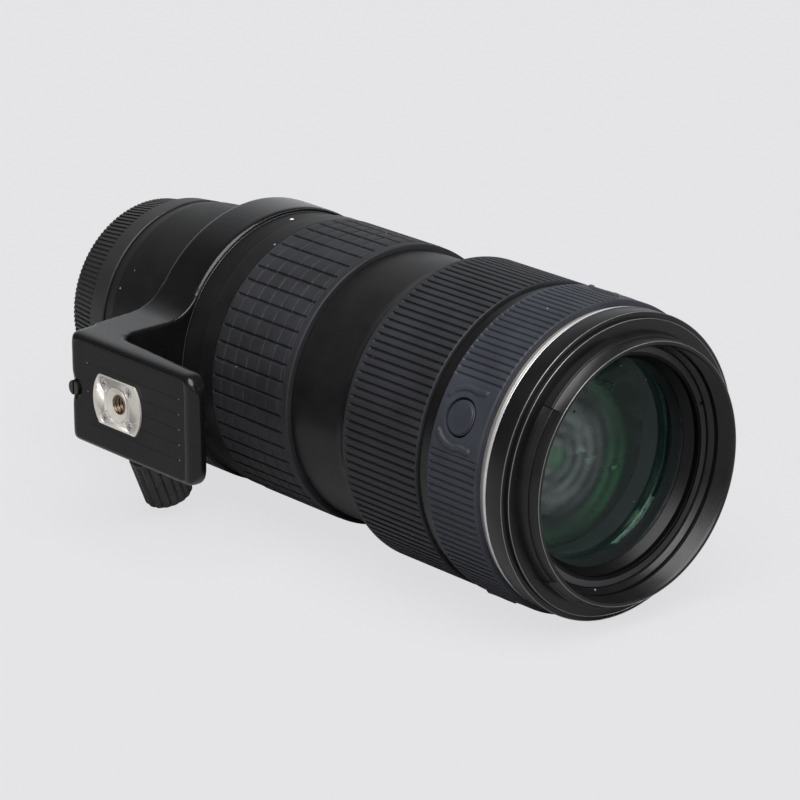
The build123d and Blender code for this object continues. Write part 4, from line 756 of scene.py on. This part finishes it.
def button_ring():
    """Ribbed rubber ring, plain round each button, with guards and a round moat per button. A thin film
    under each button closes the ring, and the button's side passes through it."""
    step = [MOAT_R - 0.02, MOAT_R + 0.03, MOAT_R + 0.1, MOAT_R + 0.25]
    fine = np.concatenate([np.linspace(-PLAIN_HALF, -FINE_OUTER, 22), [-v for v in reversed(step)],
                           np.linspace(-FINE_INNER, FINE_INNER, 36), step,
                           np.linspace(FINE_OUTER, PLAIN_HALF, 22)])
    plain = [(b + np.degrees(fine / RING_R)) for b in BUTTON_ANGLES]
    ribs = rib_columns(RING_RIBS, RING_START, RING_R, RING_GROOVE[0], 1) % 360
    apart = np.array([[(a - b + 180) % 360 - 180 for b in BUTTON_ANGLES] for a in ribs])
    ribs = ribs[np.abs(apart).min(axis=1) > math.degrees(PLAIN_HALF / RING_R) + 0.1]
    angles = np.sort(np.concatenate([ribs] + plain) % 360)
    low, high = RING_ENDS[0] - BUTTON_FORWARD, RING_ENDS[1] - BUTTON_FORWARD
    side = [v for v in fine if low + 1.0 < v < high - 1.0]
    places = np.array(sorted([low, low + 0.05, low + 0.2, low + 0.45, low + 0.8, *side,
                              high - 0.9, high - 0.6, high - 0.3, high - 0.1, high]))
    forward, angle = np.meshgrid(places + BUTTON_FORWARD, angles, indexing="ij")
    apart = np.stack([(angle - b + 180) % 360 - 180 for b in BUTTON_ANGLES])
    nearest = np.take_along_axis(apart, np.abs(apart).argmin(axis=0)[None], axis=0)[0]
    across = np.radians(nearest) * RING_R
    along = forward - BUTTON_FORWARD
    square = np.maximum(np.abs(along), np.abs(across))
    length = np.maximum(np.hypot(along, across), 1e-9)
    bend = np.clip((BEND_REACH - square) / BEND_SOFT, 0.0, 1.0)
    pull = 1 + bend * (square / length - 1)
    far = np.abs(across) > PLAIN_HALF
    pull = np.where(far, 1.0, pull)
    new_along, new_across = along * pull, across * pull
    angle = angle + np.degrees((new_across - across) / RING_R)
    forward = BUTTON_FORWARD + new_along
    ribbed = np.clip((np.abs(across) - PLAIN_HALF) / 0.4, 0, 1)
    inside = np.clip((np.minimum(forward - RING_ENDS[0], RING_ENDS[1] - forward) - 0.4) / 0.8, 0.0, 1.0)
    cut = groove(from_groove(angle, RING_RIBS, RING_START, RING_R), *RING_GROOVE) * inside * ribbed
    radius = RING_R - cut - end_round(forward, RING_ENDS, 0.7)
    radius = radius + guard_height(new_along, new_across) * np.clip(inside * 3, 0, 1)
    radius = np.where((square < MOAT_R) & ~far, RING_BASE_R + 0.08, radius)
    radius = np.where((np.abs(square - MOAT_R - 0.03) < 0.01) & ~far, RING_R - 0.25, radius)
    radius = np.where((np.abs(square - MOAT_R - 0.1) < 0.01) & ~far, RING_R - 0.06, radius)
    forward, radius = with_bore(forward, radius, RING_BASE_R)
    mesh = skin("button_ring", forward, radius, np.vstack([angle, angle[:2]]))
    show("button_ring", mesh, BUTTON_RUBBER, "barrel", "button_rubber", "button_grip")


def push_buttons():
    """Four round caps with a stepped edge, each curved like the ring."""
    flat = BUTTON_FACE_R - 0.12
    rings = [(0.0, 0.0), (1.5, 0.0), (3.0, 0.0), (flat - 0.4, 0.0), (flat, 0.02), (flat + 0.06, 0.06),
             (BUTTON_FACE_R, 0.15), (BUTTON_FACE_R, BUTTON_EDGE), (BUTTON_R - 0.08, BUTTON_EDGE),
             (BUTTON_R, BUTTON_EDGE + 0.08), (BUTTON_R, 3.4)]
    columns = 72
    turn = np.arange(columns) * TAU / columns
    for number, place in enumerate(BUTTON_ANGLES):
        work = bmesh.new()
        rows = []
        for reach, drop in rings:
            along, across = reach * np.cos(turn), reach * np.sin(turn)
            top = np.sqrt(BUTTON_TOP_R ** 2 - across ** 2) - drop
            rows.append([work.verts.new((t, -(BUTTON_FORWARD + a), c))
                         for t, a, c in zip(top, along, across)])
        floor = [work.verts.new((BUTTON_FLOOR_R, v.co.y, v.co.z)) for v in rows[-1]]
        rows.append(floor)
        for a, b in zip(rows, rows[1:]):
            for k in range(columns):
                m = (k + 1) % columns
                work.faces.new((a[k], a[m], b[m], b[k]))
        work.faces.new(floor)
        bmesh.ops.transform(work, matrix=Matrix.Rotation(-math.radians(place), 4, "Y") @ Matrix.Scale(MM, 4),
                            verts=work.verts)
        mesh = bpy.data.meshes.new(f"button_cap_{number + 1}")
        work.to_mesh(mesh)
        work.free()
        show(f"button_cap_{number + 1}", smooth(tidy_mesh(mesh), 50), BUTTON_PLASTIC,
             f"button_{number + 1}_key", "button_plastic", f"button_{number + 1}")


def front_lip():
    """Front ring: bare name band, step, hood tube with wide gaps between its lugs, and the filter thread."""
    thread = []
    turns = int(FILTER_L / THREAD_PITCH)
    for i in range(turns):
        place = LIP_FRONT - THREAD_START - i * THREAD_PITCH
        thread += [(place, FILTER_R + THREAD_DEEP), (place - THREAD_PITCH / 2, FILTER_R - 0.02)]
    inner = LIP_FRONT - FILTER_L
    section = rounded([
        (BAND_ENDS[0], SEAT_R), (BAND_ENDS[0], BAND_RS[0], 0.15), (BAND_ENDS[1], BAND_RS[1], 0.35),
        (BAND_ENDS[1], STEP_R), (TUBE_REAR, STEP_R, 0.3), (TUBE_REAR, HOOD_R), (LUG_FRONT, HOOD_R, 0.25),
        *NOSE, (LIP_FRONT, LIP_R, 0.3), (LIP_FRONT, FILTER_R + RELIEF_DEEP, 0.15),
        (LIP_FRONT - THREAD_START, FILTER_R + THREAD_DEEP), *thread[1:], (inner, FILTER_R),
        (inner, FILTER_R + RELIEF_DEEP), (inner - RELIEF_L, FILTER_R + RELIEF_DEEP),
        (inner - RELIEF_L, FILTER_R - 0.5, 0.12), (inner - 2.2, FRONT_BORE_R),
        (FRONT_BORE_REAR, FRONT_BORE_R), (FRONT_BORE_REAR, SEAT_R)], 4)
    edges = [HOOD_GAP_ANGLE + 120 * i + side * HOOD_GAP_SPAN / 2 for i in range(3) for side in (-1, 1)]
    angles = np.sort(np.append(np.arange(360) + 0.5, [e + o for e in edges for o in (-0.15, 0.15)]) % 360)
    forward = np.repeat(section[:, :1], len(angles), axis=1)
    radius = np.repeat(section[:, 1:], len(angles), axis=1)
    apart = (angles - HOOD_GAP_ANGLE + 60) % 120 - 60
    cut = np.clip((HOOD_GAP_SPAN / 2 + 0.15 - np.abs(apart)) / 0.3, 0, 1) * HOOD_GAP_DEEP
    on_tube = (section[:, 0] > TUBE_REAR + 0.05) & (section[:, 0] < LUG_FRONT + 0.1)
    outside = on_tube & (section[:, 1] > HOOD_R - HOOD_GAP_DEEP)
    radius[outside] -= cut
    mesh = skin("front_lip", forward, radius, np.repeat(angles[None], len(section), axis=0))
    show("front_lip", mesh, FRONT_BLACK, "barrel", "black_front", "front_ring")


def collar_casting():
    """The collar with arm and foot, its edges softened as on a painted casting."""
    piece = show("collar_casting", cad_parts["tripod_collar"].data.copy(), CASTING_BLACK, "collar",
                 "black_casting", "tripod_collar")
    even = piece.modifiers.new("even", "REMESH")
    even.mode = "VOXEL"
    even.voxel_size = CASTING_VOXEL * MM
    even.use_smooth_shade = True
    settle(piece)
    foot = piece.vertex_groups.new(name="foot")
    foot.add([v.index for v in piece.data.vertices if v.co.x < FOOT_BACK_X * MM], 1.0, "REPLACE")
    soften = piece.modifiers.new("soften", "SMOOTH")
    soften.factor = 0.5
    soften.iterations = CASTING_SOFTEN
    round_foot = piece.modifiers.new("round_foot", "SMOOTH")
    round_foot.factor = 0.5
    round_foot.iterations = FOOT_SOFTEN
    round_foot.vertex_group = "foot"
    thin = piece.modifiers.new("thin", "DECIMATE")
    thin.ratio = CASTING_KEEP


def settle(piece):
    """Makes what a piece's modifiers show its own mesh."""
    bpy.context.view_layer.update()
    solved = bpy.data.meshes.new_from_object(piece.evaluated_get(bpy.context.evaluated_depsgraph_get()))
    piece.modifiers.clear()
    piece.data = solved


def clamp_frame():
    """From millimetres along and across the clamp's screw to the part's frame."""
    lean = math.radians(CLAMP_TILT)
    side = (math.cos(lean), 0, math.sin(lean), 0)
    up = (-math.sin(lean), 0, math.cos(lean), 0)
    turn = Matrix((side, (0, -1, 0, 0), up, (0, 0, 0, 1))).transposed()
    return Matrix.Scale(MM, 4) @ Matrix.Translation(Vector(CLAMP_END)) @ turn


def corner_drop(inside, size):
    """How far a corner rounded to that size falls back, at a distance inside its end."""
    return size - math.sqrt(max(0.0, size ** 2 - max(0.0, size - inside) ** 2))


def fluted_knob():
    """The clamp's knob: hollow flutes between rounded ridges, and a rounded end."""
    places = [0.0, 0.12, 0.45, 0.95, 1.6, 2.4, 6.0, *[KNOB_L - v for v in (2.6, 1.8, 1.1, 0.5, 0.15, 0.0)]]
    columns = KNOB_FLUTES * 12
    turn = np.arange(columns) * TAU / columns
    wave = np.abs(np.cos(turn * KNOB_FLUTES / 2)) ** 0.7
    rows = []
    for place in places:
        wall = KNOB_END_R + (KNOB_R - KNOB_END_R) * place / KNOB_L
        round_end = corner_drop(place, KNOB_END_ROUND)
        round_top = corner_drop(KNOB_L - place, KNOB_TOP_ROUND)
        deep = KNOB_FLUTE * min(1.0, (KNOB_L - place) / KNOB_END_ROUND, 0.35 + place / 2.4)
        rows.append(wall - round_end - round_top - deep * (1 - wave))
    work = bmesh.new()
    rings = [[work.verts.new((r * math.cos(a), r * math.sin(a), place)) for r, a in zip(row, turn)]
             for place, row in zip(places, rows)]
    for low, high in zip(rings, rings[1:]):
        for k in range(columns):
            m = (k + 1) % columns
            work.faces.new((low[k], low[m], high[m], high[k]))
    work.faces.new(rings[0])
    work.faces.new(rings[-1])
    bmesh.ops.transform(work, matrix=clamp_frame(), verts=work.verts)
    mesh = bpy.data.meshes.new("fluted_knob")
    work.to_mesh(mesh)
    work.free()
    show("fluted_knob", smooth(tidy_mesh(mesh), 50), KNOB_PLASTIC, "clamp", "knob_plastic", "clamp_knob")


def socket_thread():
    """The tripod thread inside the steel socket."""
    turns, steps, columns = 5, 12, 48
    depth = np.linspace(0.0, 1.0, turns * steps + 1) * turns * SOCKET_PITCH + 0.5
    angle = np.arange(columns) * 360.0 / columns
    along, turn = np.meshgrid(depth, angle, indexing="ij")
    phase = (along / SOCKET_PITCH + turn / 360.0) % 1.0
    crest = SOCKET_R - 0.06 - 0.52 * np.clip(1.25 - 2.5 * np.abs(phase - 0.5), 0, 1)
    outer = np.full((2, columns), SOCKET_R - 0.02)
    radius = np.vstack([crest, outer])
    along = np.vstack([along, along[-1:], along[:1]])
    turn = np.radians(np.vstack([turn, turn[:2]]))
    points = np.stack([along - FOOT_X, -(SOCKET_FORWARD + radius * np.cos(turn)),
                       radius * np.sin(turn)], -1) * MM
    rows = len(points)
    index = np.arange(rows * columns).reshape(rows, columns)
    down = np.roll(index, -1, axis=0)
    faces = np.stack([index, down, np.roll(down, -1, axis=1), np.roll(index, -1, axis=1)], axis=-1)
    mesh = bpy.data.meshes.new("socket_thread")
    mesh.from_pydata(points.reshape(-1, 3).tolist(), [], faces.reshape(-1, 4).tolist())
    show("socket_thread", smooth(tidy_mesh(mesh), 40), THREAD_STEEL, "collar", "plate_steel")


def block(work, low, high):
    """A box between two corners, in millimetres."""
    made = bmesh.ops.create_cube(work, size=1.0)["verts"]
    size = [h - l for l, h in zip(low, high)]
    middle = [(h + l) / 2 for l, h in zip(low, high)]
    for vert in made:
        vert.co = Vector([m + c * s for m, c, s in zip(middle, vert.co, size)]) * MM


def carve(piece, *tools):
    """Takes the shapes of the tool meshes out of a piece."""
    for tool in tools:
        cutter = bpy.data.objects.new(tool.name, tool)
        bpy.context.scene.collection.objects.link(cutter)
        cut = piece.modifiers.new(tool.name, "BOOLEAN")
        cut.operation = "DIFFERENCE"
        cut.object = cutter
        settle(piece)
        bpy.data.objects.remove(cutter)


def foot_pad():
    """The foot's matt panel, with five shallow grooves along it."""
    pad = show("foot_pad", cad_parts["foot_panel"].data.copy(), PAD_RUBBER, "collar", "pad_rubber",
               "foot_panel")
    work = bmesh.new()
    for i in range(5):
        z = (i - 2) * PAD_GROOVE_STEP
        block(work, (PAD_FACE_X - 0.5, -PAD_GROOVE_ENDS[1], z - PAD_GROOVE_HALF),
              (PAD_FACE_X + PAD_GROOVE_DEEP, -PAD_GROOVE_ENDS[0], z + PAD_GROOVE_HALF))
    mesh = bpy.data.meshes.new("pad_grooves")
    work.to_mesh(mesh)
    work.free()
    carve(pad, mesh)


def socket_face():
    """The steel plate round the tripod socket: a sunk mouth and the seam of the pressed-in bush."""
    plate = show("socket_face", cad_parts["socket_plate"].data.copy(), PLATE_STEEL, "collar",
                 "plate_steel", "socket_plate")
    sink = turned("sink", [(-0.3, 2.0), (-0.3, SINK_R + 0.6), (1.0, SOCKET_R + 0.02), (1.0, 2.0)], 96)
    tools = [sink, ring_cut("seam", SEAM_R, 0.14)]
    tools += [ring_cut(f"screw_edge_{a}_{b}", PLATE_SCREW_R, 0.16, a * PLATE_SCREWS[0], b * PLATE_SCREWS[1])
              for a in (-1, 1) for b in (-1, 1)]
    turn = Matrix.Translation(Vector((PLATE_X, -SOCKET_FORWARD, 0)) * MM) @ Matrix.Rotation(TAU / 4, 4, "Z")
    for tool in tools:
        tool.transform(turn)
    carve(plate, *tools)
    smooth(plate.data, 30)


def ring_cut(name, radius, width, along=0.0, across=0.0):
    """A narrow ring that cuts a seam or the edge of a sunk screw head, at a place on the plate's face."""
    ring = turned(name, [(-0.2, radius), (0.25, radius), (0.25, radius + width), (-0.2, radius + width)], 72)
    ring.transform(Matrix.Translation(Vector((along, 0, across)) * MM))
    return ring


def silver_trim():
    """Silver ring: a satin slope behind and a polished strip in front."""
    slope = turned("trim_slope", [(TRIM_REAR, SEAT_R), *TRIM_SLOPE, (TRIM_MIDDLE, SEAT_R)])
    strip = turned("trim_strip", [(TRIM_MIDDLE, SEAT_R), *TRIM_STRIP, (TRIM_FRONT, SEAT_R)])
    show("trim_slope", slope, SATIN_SILVER, "barrel", "silver_trim", "silver_ring")
    show("trim_strip", strip, SILVER, "barrel", "silver_trim")


def edge_wear_and_highlights():
    """Fine bright lines on turned edges: painted highlights, drawn as bare metal where the paint has worn
    through.
    """
    for name, body, slot_name, forward, radius in EDGES:
        turns = [math.radians(45 * k) for k in range(8)]
        mesh = turned(name, [(forward + EDGE_W * math.cos(t), radius + EDGE_W * math.sin(t)) for t in turns])
        show(name, mesh, CASTING_EDGE_WEAR_AND_HIGHLIGHT if body == "collar" else EDGE_WEAR_AND_HIGHLIGHT, body, slot_name)


def shoulder():
    """Curved shoulder that rises from the middle barrel to the focus sleeve."""
    mesh = turned("shoulder", [*SHOULDER_CURVE, *SHOULDER_BACK])
    show("shoulder", mesh, BARREL_BLACK, "barrel", "black_shell")


def pad_pips():
    """Small worn pips where the pad's grooves end."""
    work = bmesh.new()
    places = [(PIP_FORWARD, (i - 2) * PAD_GROOVE_STEP) for i in range(5)] + REAR_PIPS
    for forward, z in places:
        made = bmesh.ops.create_uvsphere(work, u_segments=12, v_segments=8, radius=PIP_R * MM)["verts"]
        bmesh.ops.translate(work, verts=made, vec=Vector((PAD_FACE_X + 0.08, -forward, z)) * MM)
    mesh = bpy.data.meshes.new("pad_pips")
    work.to_mesh(mesh)
    work.free()
    show("pad_pips", smooth(mesh, 180), PIP_GREY, "collar", "pad_rubber")


def index_dot():
    """White dot in its recess on the index ring."""
    work = bmesh.new()
    made = bmesh.ops.create_cone(work, cap_ends=True, segments=32, radius1=DOT_RS[0] * MM,
                                 radius2=DOT_RS[1] * MM, depth=DOT_L * MM)["verts"]
    turn = Matrix.Rotation(math.radians(90 - DOT_ANGLE), 4, "Y")
    angle = math.radians(DOT_ANGLE)
    place = Vector((math.cos(angle) * DOT_SEAT_R, -DOT_FORWARD, math.sin(angle) * DOT_SEAT_R))
    bmesh.ops.transform(work, matrix=Matrix.Translation(place * MM) @ turn, verts=made)
    mesh = bpy.data.meshes.new("index_dot")
    work.to_mesh(mesh)
    work.free()
    show("index_dot", smooth(mesh, 30), WHITE_PAINT, "barrel", "black_shell")


def lettering(name, entries, body, slot_name, paint, radius, size):
    """Raised print on a cylinder: entries of text, forward place and angle."""
    work = bmesh.new()
    for words, forward, angle in entries:
        curve = bpy.data.curves.new(name + "_text", "FONT")
        curve.body = words
        curve.size = size * MM
        curve.align_x = "CENTER"
        curve.align_y = "CENTER"
        curve.extrude = PRINT_H * MM
        curve.resolution_u = 4
        text = bpy.data.objects.new(name + "_text", curve)
        bpy.context.scene.collection.objects.link(text)
        bpy.context.view_layer.update()
        mesh = bpy.data.meshes.new_from_object(text.evaluated_get(bpy.context.evaluated_depsgraph_get()))
        bpy.data.objects.remove(text)
        flat = bmesh.new()
        flat.from_mesh(mesh)
        for vert in flat.verts:
            here = vert.co.copy()
            a = math.radians(angle) - here.x / (radius * MM)
            out = (radius * MM) + here.z
            vert.co = Vector((out * math.cos(a), -forward * MM + here.y, out * math.sin(a)))
        flat.to_mesh(mesh)
        flat.free()
        work.from_mesh(mesh)
    mesh = bpy.data.meshes.new(name)
    work.to_mesh(mesh)
    work.free()
    show(name, mesh, paint, body, slot_name)


zoom_sleeve()
focus_sleeve()
button_ring()
push_buttons()
front_lip()
collar_casting()
fluted_knob()
socket_thread()
foot_pad()
pad_pips()
socket_face()
silver_trim()
edge_wear_and_highlights()
shoulder()
index_dot()
lettering("distance_numbers", DISTANCE_WORDS, "scale", "scale_plastic", WHITE_PAINT, *DISTANCE_PRINT)
lettering("zoom_numbers", ZOOM_WORDS, "zoom", "black_shell", WHITE_PAINT, *ZOOM_PRINT)


# Camera, floor and light

def photo_camera():
    """The camera at the photograph's place and angle of view."""
    a, e = math.radians(CAMERA_AZIMUTH), math.radians(CAMERA_ELEVATION)
    back = Vector((math.sin(a) * math.cos(e), -math.cos(a) * math.cos(e), math.sin(e)))
    right = Vector((math.cos(a), math.sin(a), 0))
    up = back.cross(right)
    data = bpy.data.cameras.new("photo_camera")
    data.sensor_width = 36.0
    data.lens = FOCAL_MM
    data.shift_x, data.shift_y = SHIFT
    data.clip_start = 0.05
    data.clip_end = 20.0
    camera = bpy.data.objects.new("photo_camera", data)
    turn = Matrix((right, up, back)).transposed().to_4x4()
    camera.matrix_world = Matrix.Translation(Vector(CAMERA_PLACE) * MM) @ turn
    bpy.context.scene.collection.objects.link(camera)
    bpy.context.scene.camera = camera


def pale_floor(height):
    """A wide pale floor under the lens."""
    mesh = bpy.data.meshes.new("floor")
    half = FLOOR_HALF
    corners = [(-half, -half, height), (half, -half, height), (half, half, height), (-half, half, height)]
    mesh.from_pydata(corners, [], [(0, 1, 2, 3)])
    floor = bpy.data.objects.new("floor", mesh)
    bpy.context.scene.collection.objects.link(floor)
    paint = Paint("floor", FLOOR_TONE, 0.9)
    shade = FLOOR_TONE
    for kind, share in FLOOR_SHARES:
        shade = paint.mix(paint.ray(kind), shade, tint(FLOOR_TONE, share))
    paint.set("Base Color", shade)
    glow = tint(FLOOR_TONE, FLOOR_GLOW)
    paint.set("Emission Color", paint.mix(paint.ray(TO_CAMERA), (0.0, 0.0, 0.0), glow))
    paint.set("Emission Strength", 1.0)
    paint.set("Specular IOR Level", 0.0)
    mesh.materials.append(paint.material)
    floor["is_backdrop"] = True


def soft_light(name, place, aim, size, power):
    """One soft box, aimed at a point. Place and aim are in millimetres."""
    data = bpy.data.lights.new(name, "AREA")
    data.shape = "RECTANGLE"
    data.size, data.size_y = size
    data.energy = power
    light = bpy.data.objects.new(name, data)
    light.location = Vector(place) * MM
    light.rotation_euler = (Vector(aim) - Vector(place)).to_track_quat("-Z", "Y").to_euler()
    bpy.context.scene.collection.objects.link(light)


def wide_light(name, aim, spread, strength):
    """A very soft light from far away, as from a lit ceiling. Aim is the way in which it shines."""
    data = bpy.data.lights.new(name, "SUN")
    data.angle = math.radians(spread)
    data.energy = strength
    light = bpy.data.objects.new(name, data)
    light.rotation_euler = Vector(aim).to_track_quat("-Z", "Y").to_euler()
    bpy.context.scene.collection.objects.link(light)


def studio():
    """Weak light from all round, a wide soft light from above and the weak soft boxes."""
    world = bpy.data.worlds.new("studio")
    world.use_nodes = True
    nodes = Nodes(world.node_tree)
    direction = nodes.node("ShaderNodeTexCoord", out=0)
    behind = nodes.node("ShaderNodeVectorMath", {"operation": "DOT_PRODUCT"}, {0: direction, 1: BACKDROP_WAY},
                        out=1)
    mirrored = nodes.ray(MIRRORED) * behind.ramp(*BACKDROP_EDGE)
    tone = nodes.mix(mirrored, tint(ROOM_TONE, ROOM_LIGHT), tint(ROOM_TONE, BACKDROP_LIGHT))
    room = nodes.node("ShaderNodeBackground", None, {"Color": tone, "Strength": 1.0})
    nodes.put(nodes.tree.nodes.new("ShaderNodeOutputWorld").inputs[0], room)
    bpy.context.scene.world = world
    wide_light("ceiling", *CEILING)
    for box in SOFT_BOXES:
        soft_light(*box)
    bpy.context.scene.view_settings.view_transform = "Standard"


photo_camera()
pale_floor(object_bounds()[0][2] - FLOOR_GAP * MM)
studio()
